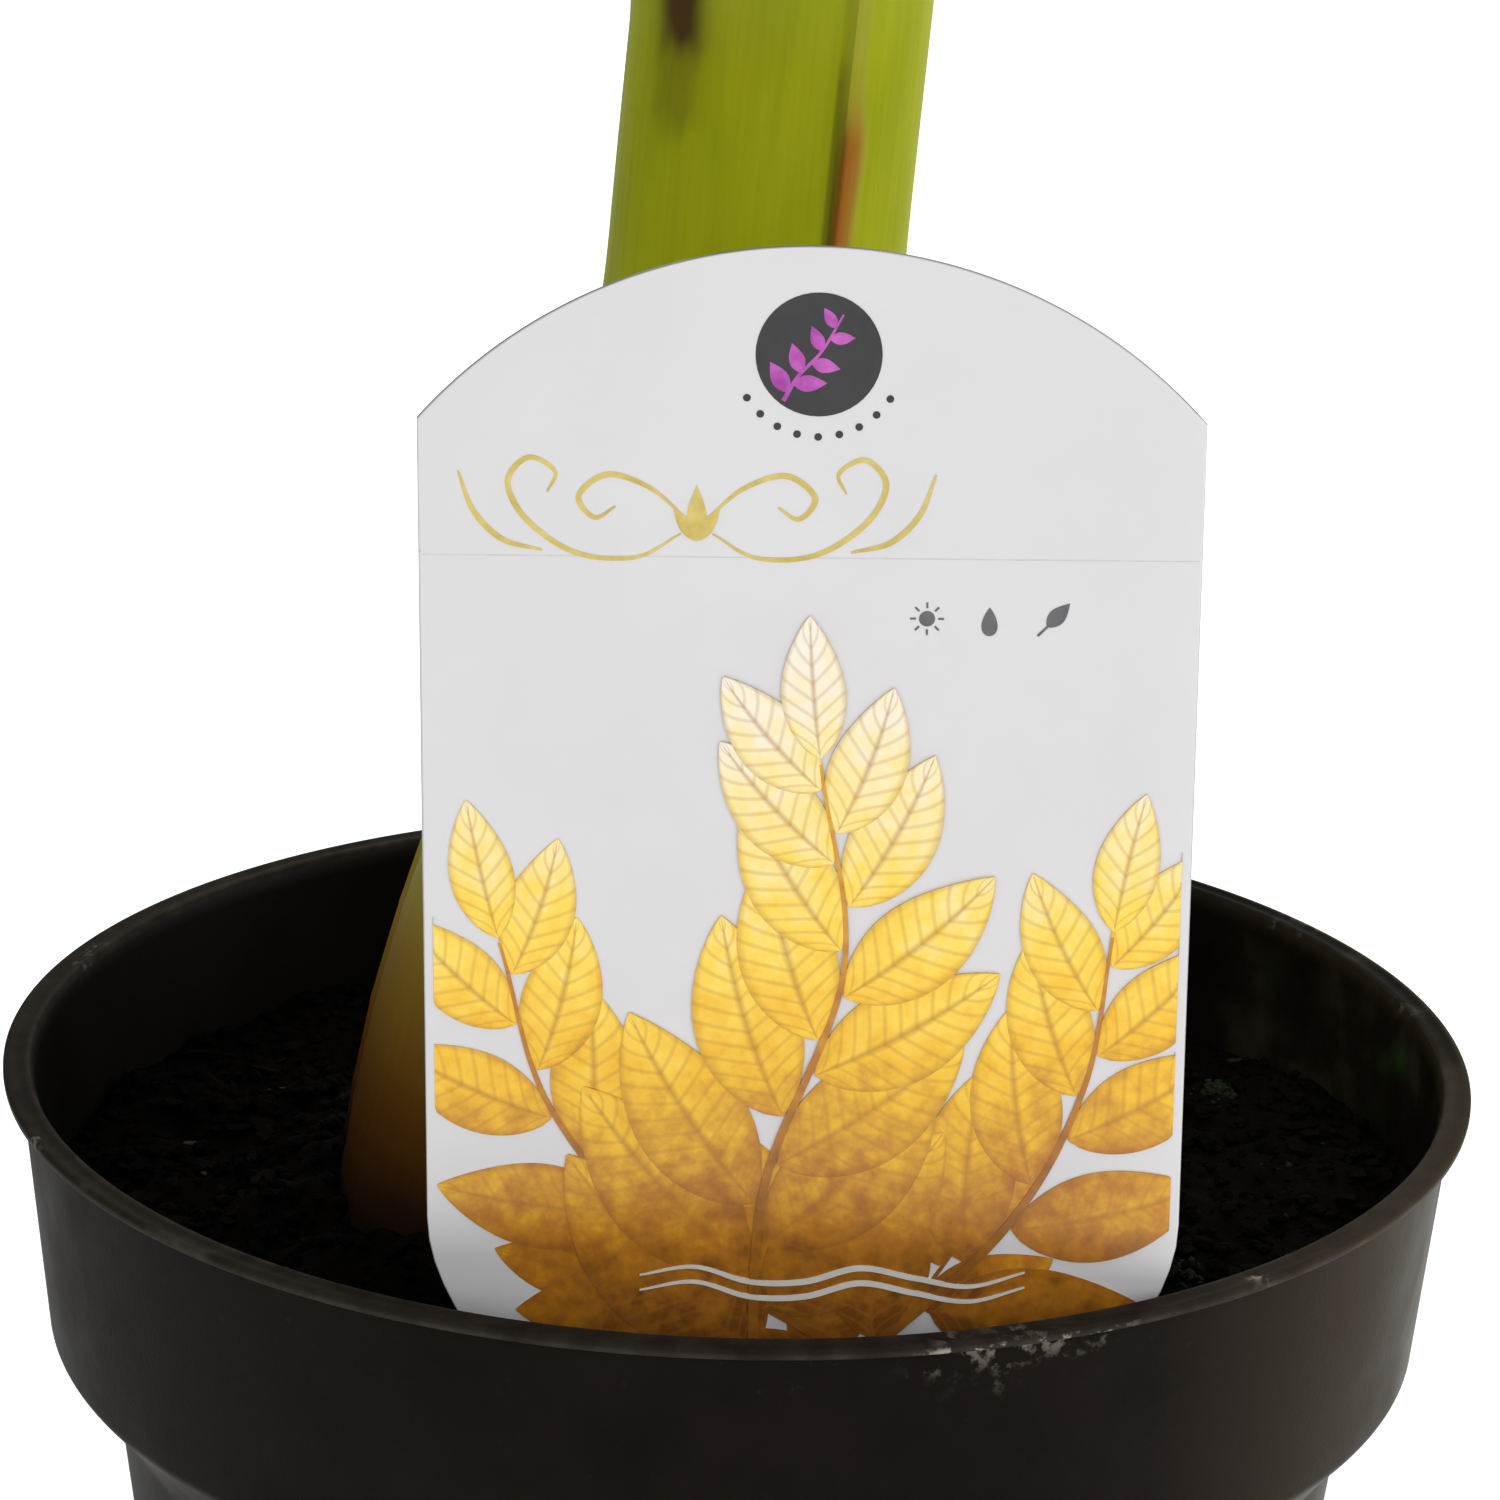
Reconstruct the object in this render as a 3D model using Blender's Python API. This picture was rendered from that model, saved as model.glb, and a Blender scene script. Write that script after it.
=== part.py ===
"""A young Chinese dwarf banana in its nursery pot, with the plant label stuck in the soil.

Metres, +Z up. The origin is the middle of the pot's underside, and -Y is the side of the label.
The pot and its soil are turned about +Z, the pseudostem leans a little off that axis, and each
leaf is a channelled petiole and a folded blade that spread from the pseudostem's fork.
"""
import math

import bmesh
import bpy
from mathutils import Matrix, Vector

MM = 0.001
CLEARANCE = 0.3 * MM

# Pot: outer radii, and heights above the ground
POT_HEIGHT = 105 * MM
LIP_RADIUS = 65 * MM
LIP_WIDTH = 2.4 * MM
LIP_HEIGHT = 1.5 * MM
LIP_EDGE = 0.3 * MM
COLLAR_TOP_RADIUS = 63.5 * MM
COLLAR_FOOT_RADIUS = 61.2 * MM
COLLAR_FOOT = POT_HEIGHT - 24.5 * MM
COLLAR_EDGE = 0.4 * MM
SHOULDER_BEND = (0.55, 0.62)  # shares of the way in and up from the body to the collar
BODY_TOP_RADIUS = 55.3 * MM
BODY_TOP = POT_HEIGHT - 32.5 * MM
BODY_FILLET = (0.8 * MM, 1.8 * MM)  # outwards and upwards
BASE_RADIUS = 46.5 * MM
BASE_CORNER = 2 * MM
CORNER_ROUNDING = 0.3
POT_WALL = 1.2 * MM
POT_FLOOR = 1.6 * MM
POT_SEGMENTS = 60
DRAIN_COUNT = 8
DRAIN_WIDTH = 9 * MM
DRAIN_HEIGHT = 5 * MM
DRAIN_INNER_RADIUS = 37 * MM

# Soil
SOIL_TOP = POT_HEIGHT - 12 * MM
SOIL_EDGE_DROP = 1.5 * MM
SOIL_FLAT_RADIUS = 52 * MM

# Pseudostem: a swollen foot under an even shaft, which thins from the first sheath to the fork
FOOT_CENTRE = Vector((-6.5 * MM, -14 * MM, SOIL_TOP))
LEAN_X = 0.071
LEAN_Y = 0.075
SHAFT_RADIUS = 12.8 * MM
FOOT_SWELLING = 15.9 * MM
SWELLING_HEIGHT = 88 * MM
SHEATHS_START = 203 * MM
FORK_HEIGHT = 303 * MM
FORK_RADIUS = 4.6 * MM
STEM_SEGMENTS = 36
SWELLING_RINGS = 10
THINNING_SHARES = (0.35, 0.7, 1)

# Leaves, from the oldest and lowest to the youngest
LEAF_COUNT = 8
FIRST_AZIMUTH = math.radians(62.5)
DIVERGENCE = math.radians(137.5)
FIRST_SHEATH = 205 * MM
SHEATH_STEP = 12.5 * MM
PETIOLE_LENGTH = (62 * MM, 46 * MM)
BLADE_LENGTH = tuple(length * MM for length in (178, 200, 224, 240, 250, 246, 232, 206))
BLADE_HALF_WIDTH = tuple(width * MM for width in (37, 40, 44, 47, 48, 45, 39, 30))
PETIOLE_LEAN = (math.radians(50), math.radians(9))
TIP_LEAN = (math.radians(110), math.radians(26))
SWEEP = tuple(math.radians(angle) for angle in (11, -14, 10, 12, -9, -12, 8, 6))
TWIST = tuple(math.radians(angle) for angle in (-13, 16, -12, 9, -10, 12, -8, 5))
SHEATH_HALF_ANGLE = math.radians(46)
SHEATH_LENGTH = 26 * MM
SHEATH_GAP = 0.5 * MM
CHANNEL_HALF_WIDTH = (7.6 * MM, 5.6 * MM)
CHANNEL_ANGLE = math.radians(88)
GUTTER_HALF_WIDTH = 4 * MM
FOLD_ANGLE = (math.radians(40), math.radians(12))
UNFOLDING = 0.22
MARGIN_SHARE = 0.15
WIDEST_PLACE = 0.42
SPREAD_POWERS = (2.1, 2.3)  # how full the blade is below and above its widest place
PETIOLE_WING_POWER = 4
ARCHING_POWER = 1.25
TIP_HALF_WIDTH = 1.2 * MM
LEAF_THICKNESS = 2.6 * MM
RIB_DEPTH = 1.8 * MM
RIB_HALF_SHARE = 1 / 3  # of the half width
CENTRE_LINE_STEPS = 240
PETIOLE_STATIONS = 8
BLADE_STATIONS = 14
STATION_POWER = 1.15  # sets the blade's stations closer at its foot
SECTION_STEPS = 12
SECTION_PLACES = (-1, -0.62, -0.25, 0, 0.25, 0.62, 1)

# Youngest leaf, still rolled up
FURLED_BASE = FORK_HEIGHT + CLEARANCE
FURLED_LENGTH = 196 * MM
FURLED_RADIUS = 4.6 * MM
FURLED_TIP_RADIUS = 0.9 * MM
FURLED_BELLY = 1.2 * MM
FURLED_BELLY_TOP = 0.8
FURLED_TAPER_POWER = 1.6
FURLED_BEND = Vector((-9 * MM, 4.5 * MM, 0))
FURLED_SEGMENTS = 12
FURLED_RINGS = 9

# Plant label: its face is at LABEL_Y, and heights on it count from the pot's rim
LABEL_X = 5.6 * MM
LABEL_Y = -50 * MM
LABEL_TILT = math.radians(-1.04)
LABEL_THICKNESS = 0.6 * MM
LABEL_HALF_WIDTH = 30 * MM
LABEL_SHOULDER = 70.3 * MM
LABEL_ARCH_RADIUS = 40 * MM
LABEL_TAPER_TOP = 4.5 * MM
LABEL_TAPER_FOOT = -35.5 * MM
LABEL_SPIKE_HALF_WIDTH = 8 * MM
LABEL_SPIKE_TIP = -56 * MM
LABEL_ARCH_POINTS = 9
LABEL_TAPER_POINTS = 10
LABEL_SPIKE_SHARES = (0.4, 0.7, 0.9, 1)


def clear_scene():
    for item in list(bpy.data.objects):
        bpy.data.objects.remove(item, do_unlink=True)


def material(name, colour, roughness):
    paint = bpy.data.materials.new(name)
    paint.use_nodes = True
    shader = paint.node_tree.nodes["Principled BSDF"]
    shader.inputs["Base Color"].default_value = (*colour, 1)
    shader.inputs["Roughness"].default_value = roughness
    return paint


def add_object(name, mesh, paint, smooth_angle=math.radians(40)):
    item = bpy.data.objects.new(name, mesh)
    bpy.context.scene.collection.objects.link(item)
    mesh.materials.append(paint)
    mesh.shade_smooth()
    mesh.set_sharp_from_angle(angle=smooth_angle)
    return item


def mix(start, end, share):
    return start + (end - start) * share


def ease(share):
    """Goes from 0 to 1 with level ends."""
    share = min(max(share, 0), 1)
    return share * share * (3 - 2 * share)


def even_shares(count):
    return [index / (count - 1) for index in range(count)]


def mesh_from(name, build):
    """A mesh filled by build(bm), with its faces turned outwards."""
    bm = bmesh.new()
    build(bm)
    bmesh.ops.remove_doubles(bm, verts=bm.verts, dist=1e-7)
    bmesh.ops.recalc_face_normals(bm, faces=bm.faces)
    mesh = bpy.data.meshes.new(name)
    bm.to_mesh(mesh)
    bm.free()
    return mesh


def turned_mesh(name, profile, segments):
    """A solid turned about +Z from (radius, height) points that start and end on the axis."""
    def build(bm):
        verts = [bm.verts.new((radius, 0, height)) for radius, height in profile]
        edges = [bm.edges.new(pair) for pair in zip(verts, verts[1:])]
        bmesh.ops.spin(
            bm, geom=verts + edges, cent=(0, 0, 0), axis=(0, 0, 1),
            angle=math.tau, steps=segments, use_merge=True,
        )
    return mesh_from(name, build)


def lofted_mesh(name, rings):
    """A solid through closed rings of equally many points, with both ends capped."""
    def build(bm):
        loops = [[bm.verts.new(point) for point in ring] for ring in rings]
        for lower, upper in zip(loops, loops[1:]):
            for index in range(len(lower)):
                after = (index + 1) % len(lower)
                bm.faces.new((lower[index], lower[after], upper[after], upper[index]))
        bm.faces.new(loops[0])
        bm.faces.new(loops[-1])
    return mesh_from(name, build)


def level_ring(centre, radius, count):
    angles = [math.tau * index / count for index in range(count)]
    return [centre + radius * Vector((math.cos(a), math.sin(a), 0)) for a in angles]


def cut(item, cutter):
    """Cuts one object out of another and removes the cutter."""
    cutter.hide_render = True
    cutter.display_type = "WIRE"
    boolean = item.modifiers.new("cut", "BOOLEAN")
    boolean.operation = "DIFFERENCE"
    boolean.solver = "EXACT"
    boolean.object = cutter
    evaluated = item.evaluated_get(bpy.context.evaluated_depsgraph_get())
    result = bpy.data.meshes.new_from_object(evaluated)
    item.modifiers.clear()
    item.data = result
    bpy.data.objects.remove(cutter, do_unlink=True)


# ---------------------------------------------------------------- pot and soil

def inner_wall(clearance):
    """(radius, height) points down the pot's inside, from the collar's top to the floor."""
    inset = POT_WALL + clearance
    return [
        (COLLAR_TOP_RADIUS - inset, POT_HEIGHT - LIP_HEIGHT),
        (COLLAR_FOOT_RADIUS - inset, COLLAR_FOOT),
        (BODY_TOP_RADIUS - inset, BODY_TOP),
        (BASE_RADIUS - inset, POT_FLOOR + clearance + BASE_CORNER),
        (BASE_RADIUS - inset - BASE_CORNER, POT_FLOOR + clearance),
    ]


def pot_profile():
    """Up the outside from the underside's middle, over the lip and down the inside."""
    lip_foot = POT_HEIGHT - LIP_HEIGHT
    lip_inside = LIP_RADIUS - LIP_WIDTH
    out_share, up_share = SHOULDER_BEND
    outside = [
        (0, 0),
        (BASE_RADIUS - BASE_CORNER, 0),
        (BASE_RADIUS - CORNER_ROUNDING * BASE_CORNER, CORNER_ROUNDING * BASE_CORNER),
        (BASE_RADIUS, BASE_CORNER),
        (BODY_TOP_RADIUS, BODY_TOP),
        (BODY_TOP_RADIUS + BODY_FILLET[0], BODY_TOP + BODY_FILLET[1]),
        (mix(BODY_TOP_RADIUS, COLLAR_FOOT_RADIUS, out_share), mix(BODY_TOP, COLLAR_FOOT, up_share)),
        (COLLAR_FOOT_RADIUS - COLLAR_EDGE, COLLAR_FOOT - COLLAR_EDGE),
        (COLLAR_FOOT_RADIUS, COLLAR_FOOT + COLLAR_EDGE),
        (COLLAR_TOP_RADIUS, lip_foot - LIP_EDGE),
        (LIP_RADIUS - LIP_EDGE, lip_foot),
        (LIP_RADIUS, lip_foot + LIP_EDGE),
        (LIP_RADIUS, POT_HEIGHT - LIP_EDGE),
        (LIP_RADIUS - LIP_EDGE, POT_HEIGHT),
        (lip_inside + LIP_EDGE, POT_HEIGHT),
        (lip_inside, POT_HEIGHT - LIP_EDGE),
    ]
    return outside + inner_wall(0) + [(0, POT_FLOOR)]


def drain_cutter(index):
    """A box through the corner of the wall and the floor."""
    angle = math.tau * (index + 0.5) / DRAIN_COUNT
    outer = BASE_RADIUS + 4 * MM
    length = outer - DRAIN_INNER_RADIUS
    middle = (outer + DRAIN_INNER_RADIUS) / 2

    def build(bm):
        bmesh.ops.create_cube(bm, size=1)
        bmesh.ops.scale(bm, vec=(length, DRAIN_WIDTH, 2 * DRAIN_HEIGHT), verts=bm.verts)
        bmesh.ops.translate(bm, vec=(middle, 0, 0), verts=bm.verts)
        bmesh.ops.rotate(bm, cent=(0, 0, 0), matrix=Matrix.Rotation(angle, 3, "Z"), verts=bm.verts)
    return mesh_from("drain", build)


def make_pot(paint):
    pot = add_object("pot", turned_mesh("pot", pot_profile(), POT_SEGMENTS), paint)
    for index in range(DRAIN_COUNT):
        cut(pot, add_object("cutter", drain_cutter(index), paint))
    pot.data.set_sharp_from_angle(angle=math.radians(40))


def make_soil(paint):
    """Fills the pot to just under its collar's top, and dips a little at the wall."""
    edge_height = SOIL_TOP - SOIL_EDGE_DROP
    wall = inner_wall(CLEARANCE)
    top_radius, collar_top = wall[0]
    foot_radius, collar_foot = wall[1]
    share = (collar_top - edge_height) / (collar_top - collar_foot)
    profile = [(0, SOIL_TOP), (SOIL_FLAT_RADIUS, SOIL_TOP)]
    profile += [(mix(top_radius, foot_radius, share), edge_height)]
    profile += wall[1:] + [(0, wall[-1][1])]
    profile.reverse()
    soil = add_object("soil", turned_mesh("soil", profile, POT_SEGMENTS), paint)
    cut(soil, add_object("cutter", label_mesh(CLEARANCE), paint))
    soil.data.set_sharp_from_angle(angle=math.radians(40))


# ---------------------------------------------------------------- pseudostem

def stem_centre(height):
    rise = height - SOIL_TOP
    return FOOT_CENTRE + Vector((LEAN_X, LEAN_Y, 1)) * rise


def stem_radius(height):
    """The swollen foot eases into the shaft, which thins above the first sheath."""
    rise = min((height - SOIL_TOP) / SWELLING_HEIGHT, 1)
    radius = SHAFT_RADIUS + FOOT_SWELLING * (1 + math.cos(math.pi * rise)) / 2
    thinning = max((height - SHEATHS_START) / (FORK_HEIGHT - SHEATHS_START), 0)
    return mix(radius, FORK_RADIUS, thinning)


def make_pseudostem(paint):
    foot = SOIL_TOP + CLEARANCE
    swelling_top = SOIL_TOP + SWELLING_HEIGHT
    heights = [mix(foot, swelling_top, i / SWELLING_RINGS) for i in range(SWELLING_RINGS)]
    heights += [swelling_top, SHEATHS_START]
    heights += [mix(SHEATHS_START, FORK_HEIGHT, share) for share in THINNING_SHARES]
    rings = [level_ring(stem_centre(z), stem_radius(z), STEM_SEGMENTS) for z in heights]
    add_object("pseudostem", lofted_mesh("pseudostem", rings), paint)


# ---------------------------------------------------------------- leaves

class Leaf:
    """The sizes of one leaf; index 0 is the oldest and lowest."""

    def __init__(self, index):
        age = index / (LEAF_COUNT - 1)
        self.azimuth = FIRST_AZIMUTH + index * DIVERGENCE
        self.sheath_height = FIRST_SHEATH + index * SHEATH_STEP
        self.petiole = mix(*PETIOLE_LENGTH, age)
        self.blade = BLADE_LENGTH[index]
        self.length = self.petiole + self.blade
        self.half_width = BLADE_HALF_WIDTH[index]
        self.petiole_lean = mix(*PETIOLE_LEAN, age)
        self.tip_lean = mix(*TIP_LEAN, age)
        self.channel = mix(*CHANNEL_HALF_WIDTH, age)
        self.sweep = SWEEP[index]
        self.twist = TWIST[index]
        self.stem_radius = stem_radius(self.sheath_height)
        self.sheath_half_width = SHEATH_HALF_ANGLE * (self.stem_radius + LEAF_THICKNESS)
        self.frames = self.centre_line()

    def lean(self, place):
        """Angle off the pseudostem's axis at a length from the leaf's base."""
        if place < self.petiole:
            return self.petiole_lean * ease(place / self.petiole)
        share = (place - self.petiole) / self.blade
        return mix(self.petiole_lean, self.tip_lean, share ** ARCHING_POWER)

    def centre_line(self):
        """Frames (point, forward, side, upper side's normal) at even steps along the leaf."""
        axis = Vector((LEAN_X, LEAN_Y, 1)).normalized()
        outward = Vector((math.cos(self.azimuth), math.sin(self.azimuth), 0))
        outward = (outward - axis * outward.dot(axis)).normalized()
        gap = SHEATH_GAP + LEAF_THICKNESS / 2
        point = stem_centre(self.sheath_height) + outward * (self.stem_radius + gap)
        forward = axis.copy()
        upper = -outward
        side = forward.cross(upper)
        step = self.length / CENTRE_LINE_STEPS
        frames = [(point.copy(), forward.copy(), side.copy(), upper.copy())]
        for count in range(1, CENTRE_LINE_STEPS + 1):
            place = count * step
            blade_share = max((place - self.petiole) / self.blade, 0)
            lean_turn = self.lean(place) - self.lean(place - step)
            free = step / self.blade if blade_share > 0 else 0
            turns = (
                (side, -lean_turn),
                (upper, 2 * self.sweep * blade_share * free),
                (forward, self.twist * free),
            )
            for around, angle in turns:
                turn = Matrix.Rotation(angle, 3, around.copy())
                forward, side, upper = turn @ forward, turn @ side, turn @ upper
            point += forward * step
            frames.append((point.copy(), forward.copy(), side.copy(), upper.copy()))
        return frames

    def frame(self, place):
        position = place / self.length * CENTRE_LINE_STEPS
        index = min(int(position), CENTRE_LINE_STEPS - 1)
        share = position - index
        return [a.lerp(b, share) for a, b in zip(self.frames[index], self.frames[index + 1])]

    def section(self, place):
        """(half width, channel's half width, channel's angle, margin's angle) at a length."""
        if place < self.petiole:
            share = ease(place / SHEATH_LENGTH)
            half_width = mix(self.sheath_half_width, self.channel, share)
            angle = mix(SHEATH_HALF_ANGLE, CHANNEL_ANGLE, share)
            return half_width, half_width, angle, angle
        share = (place - self.petiole) / self.blade
        if share < WIDEST_PLACE:
            spread = 1 - (1 - share / WIDEST_PLACE) ** SPREAD_POWERS[0]
        else:
            spread = 1 - ((share - WIDEST_PLACE) / (1 - WIDEST_PLACE)) ** SPREAD_POWERS[1]
        wing = self.half_width * spread
        petiole_rest = self.channel * (1 - share) ** PETIOLE_WING_POWER
        half_width = max(math.hypot(wing, petiole_rest), TIP_HALF_WIDTH)
        opening = ease(share / UNFOLDING)
        angle = mix(CHANNEL_ANGLE, mix(*FOLD_ANGLE, share), opening)
        gutter = min(mix(self.channel, GUTTER_HALF_WIDTH, opening), half_width)
        return half_width, gutter, angle, mix(angle, angle * MARGIN_SHARE, opening)

    def outline(self, place):
        """A closed ring round the leaf: over its upper face, and back under it."""
        point, _, side, upper = self.frame(place)
        half_width, gutter, angle, margin_angle = self.section(place)
        rib = RIB_DEPTH * (1 - place / self.length)
        over, under = [], []
        for place_across in SECTION_PLACES:
            x, y, slope = across(place_across * half_width, half_width, gutter, angle, margin_angle)
            middle = point + side * x + upper * y
            normal = upper * math.cos(slope) - side * math.sin(slope)
            keel = rib * max(1 - abs(place_across) / RIB_HALF_SHARE, 0)
            over.append(middle + normal * (LEAF_THICKNESS / 2))
            under.append(middle - normal * (LEAF_THICKNESS / 2 + keel))
        return over + under[::-1]


def across(distance, half_width, gutter, angle, margin_angle):
    """The leaf's section: (sideways, upwards, slope) at a distance along it from the rib.

    The slope grows evenly over the gutter beside the rib, and changes evenly from there to
    the margin.
    """
    reach = abs(distance)
    step = reach / SECTION_STEPS
    x = y = 0
    for count in range(SECTION_STEPS):
        slope = section_slope((count + 0.5) * step, half_width, gutter, angle, margin_angle)
        x += math.cos(slope) * step
        y += math.sin(slope) * step
    slope = section_slope(reach, half_width, gutter, angle, margin_angle)
    sign = 1 if distance >= 0 else -1
    return sign * x, y, sign * slope


def section_slope(along, half_width, gutter, angle, margin_angle):
    if along <= gutter:
        return angle * along / gutter
    return mix(angle, margin_angle, (along - gutter) / (half_width - gutter))


def make_leaf(index, petiole_paint, blade_paint):
    leaf = Leaf(index)
    petiole_places = [leaf.petiole * share for share in even_shares(PETIOLE_STATIONS)]
    blade_start = leaf.petiole + CLEARANCE
    blade_shares = [share ** STATION_POWER for share in even_shares(BLADE_STATIONS)]
    blade_places = [mix(blade_start, leaf.length, share) for share in blade_shares]
    petiole = lofted_mesh("petiole", [leaf.outline(place) for place in petiole_places])
    blade = lofted_mesh("blade", [leaf.outline(place) for place in blade_places])
    add_object(f"petiole_{index + 1}", petiole, petiole_paint)
    add_object(f"leaf_{index + 1}", blade, blade_paint)


def make_furled_leaf(paint):
    """The rolled young leaf that stands on the pseudostem's tip."""
    base = stem_centre(FURLED_BASE)
    rings = []
    for share in even_shares(FURLED_RINGS):
        belly = FURLED_BELLY * math.sin(math.pi * min(share / FURLED_BELLY_TOP, 1))
        radius = mix(FURLED_RADIUS, FURLED_TIP_RADIUS, share ** FURLED_TAPER_POWER) + belly
        rise = FURLED_LENGTH * share
        centre = base + Vector((LEAN_X, LEAN_Y, 1)) * rise + FURLED_BEND * share ** 2
        rings.append(level_ring(centre, radius, FURLED_SEGMENTS))
    add_object("leaf_furled", lofted_mesh("leaf_furled", rings), paint)


# ---------------------------------------------------------------- label

def label_half_width(height):
    """Half the label's width at a height over the rim, below its arch."""
    if height >= LABEL_TAPER_FOOT:
        share = (LABEL_TAPER_TOP - height) / (LABEL_TAPER_TOP - LABEL_TAPER_FOOT)
        return mix(LABEL_HALF_WIDTH, LABEL_SPIKE_HALF_WIDTH, ease(share))
    share = (LABEL_TAPER_FOOT - height) / (LABEL_TAPER_FOOT - LABEL_SPIKE_TIP)
    return LABEL_SPIKE_HALF_WIDTH * math.sqrt(1 - share * share)


def label_outline():
    """The right half of the outline from the apex to the spike's tip, then the left half."""
    radius = LABEL_ARCH_RADIUS
    arch_angle = math.asin(LABEL_HALF_WIDTH / radius)
    arch_centre = LABEL_SHOULDER - radius * math.cos(arch_angle)
    angles = [arch_angle * share for share in even_shares(LABEL_ARCH_POINTS)]
    right = [(radius * math.sin(angle), arch_centre + radius * math.cos(angle)) for angle in angles]
    taper_shares = even_shares(LABEL_TAPER_POINTS)
    heights = [mix(LABEL_TAPER_TOP, LABEL_TAPER_FOOT, share) for share in taper_shares]
    heights += [mix(LABEL_TAPER_FOOT, LABEL_SPIKE_TIP, share) for share in LABEL_SPIKE_SHARES]
    right += [(label_half_width(height), height) for height in heights]
    left = [(-x, z) for x, z in right[-2:0:-1]]
    return right + left


def label_mesh(margin):
    """The label as a thin plate; a margin makes the slot that it stands in."""
    outline = label_outline()
    widen = 1 + margin / LABEL_SPIKE_HALF_WIDTH
    depth = LABEL_THICKNESS / 2 + margin
    place = Matrix.Translation((LABEL_X, LABEL_Y, POT_HEIGHT))
    place @= Matrix.Rotation(LABEL_TILT, 4, "Y")
    rings = []
    for y in (-depth, depth):
        rings.append([place @ Vector((x * widen, y, z - margin)) for x, z in outline])
    return lofted_mesh("label", rings)


def main():
    clear_scene()
    plastic = material("pot_plastic", (0.018, 0.017, 0.016), 0.55)
    earth = material("potting_soil", (0.012, 0.009, 0.007), 0.95)
    stem_green = material("pseudostem", (0.23, 0.29, 0.03), 0.45)
    petiole_green = material("petiole", (0.26, 0.36, 0.08), 0.45)
    leaf_green = material("leaf", (0.09, 0.2, 0.05), 0.5)
    label_white = material("label", (0.74, 0.73, 0.74), 0.3)
    make_pot(plastic)
    make_soil(earth)
    make_pseudostem(stem_green)
    for index in range(LEAF_COUNT):
        make_leaf(index, petiole_green, leaf_green)
    make_furled_leaf(leaf_green)
    add_object("label", label_mesh(0), label_white)


main()
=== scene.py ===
"""The looks of a potted Chinese dwarf banana: its surfaces, its light and its camera.

Metres, +Z up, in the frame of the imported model: the origin is the middle of the pot's underside,
and -Y is the side of the label. The solids' own rules are repeated here and sampled more finely.
"""

import itertools
import math

import bmesh
import bpy
import numpy as np
from mathutils import Matrix, Vector
from mathutils.geometry import tessellate_polygon


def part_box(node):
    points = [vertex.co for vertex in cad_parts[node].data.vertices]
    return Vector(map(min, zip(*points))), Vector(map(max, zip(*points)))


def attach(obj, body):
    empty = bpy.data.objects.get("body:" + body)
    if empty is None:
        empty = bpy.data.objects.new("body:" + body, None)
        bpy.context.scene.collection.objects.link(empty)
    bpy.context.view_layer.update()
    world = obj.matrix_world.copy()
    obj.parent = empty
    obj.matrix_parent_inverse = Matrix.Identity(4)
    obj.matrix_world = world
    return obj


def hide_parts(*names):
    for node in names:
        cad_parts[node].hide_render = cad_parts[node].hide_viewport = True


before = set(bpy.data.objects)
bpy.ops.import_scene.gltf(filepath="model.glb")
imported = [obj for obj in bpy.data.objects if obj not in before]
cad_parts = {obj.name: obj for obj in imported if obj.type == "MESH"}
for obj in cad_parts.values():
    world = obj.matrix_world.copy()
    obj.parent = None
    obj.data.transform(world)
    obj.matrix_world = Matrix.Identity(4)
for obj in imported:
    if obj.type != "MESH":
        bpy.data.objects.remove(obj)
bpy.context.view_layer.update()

MM = 0.001

# Pot: outer radii, and heights above the ground
POT_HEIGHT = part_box("pot")[1].z
LIP_RADIUS = 65 * MM
LIP_WIDTH = 2.4 * MM
LIP_HEIGHT = 0.95 * MM
COLLAR_TOP_RADIUS = 63.5 * MM
COLLAR_FOOT_RADIUS = 61.2 * MM
COLLAR_FOOT = POT_HEIGHT - 24.5 * MM
SHOULDER_BEND = (0.55, 0.62)
BODY_TOP_RADIUS = 55.3 * MM
BODY_TOP = POT_HEIGHT - 32.5 * MM
BODY_FILLET = (0.8 * MM, 1.8 * MM)
BASE_RADIUS = 46.5 * MM
BASE_CORNER = 2 * MM
POT_WALL = 1.2 * MM
POT_FLOOR = 1.6 * MM
POT_SEGMENTS = 288
DRAIN_COUNT = 8
DRAIN_WIDTH = 9 * MM
DRAIN_HEIGHT = 5 * MM
DRAIN_INNER_RADIUS = 37 * MM

# Soil
SOIL_TOP = POT_HEIGHT - 12 * MM
SOIL_CLEARANCE = 0.3 * MM
SOIL_SINKING = 1.6 * MM
SOIL_RELIEF = (  # (seed of the noise, depth, size of its lumps)
    (11, 1.3 * MM, 9 * MM), (12, 0.8 * MM, 3.6 * MM), (13, 0.45 * MM, 1.5 * MM), (14, 0.25 * MM, 0.8 * MM),
)
MOUND_HEIGHT = (6 * MM, 9 * MM)  # round the pseudostem's foot, and in front of it
LUMP_RISE = 0.35  # how far a loose lump's middle lies over the soil, as a share of its height
MOSS_PATCHES = (  # ((x, y, spread), count)
    ((45.6 * MM, 24.6 * MM, 0.8 * MM), 120), ((50 * MM, 8 * MM, 4 * MM), 8),
    ((40 * MM, -18 * MM, 1.1 * MM), 50), ((30 * MM, 44 * MM, 2.4 * MM), 60),
    ((-20 * MM, 50 * MM, 2 * MM), 40),
)

# Pseudostem
FOOT_CENTRE = np.array((-6.5 * MM, -14 * MM, SOIL_TOP))
STEM_LEAN = np.array((0.071, 0.075, 1))
SHAFT_RADIUS = 12.8 * MM
FOOT_SWELLING = 15.9 * MM
SWELLING_HEIGHT = 88 * MM
SHEATHS_START = 203 * MM
SHEATH_MOUTH = 207 * MM  # where the outermost sheath ends
FORK_HEIGHT = 303 * MM
FORK_RADIUS = 4.6 * MM

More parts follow.
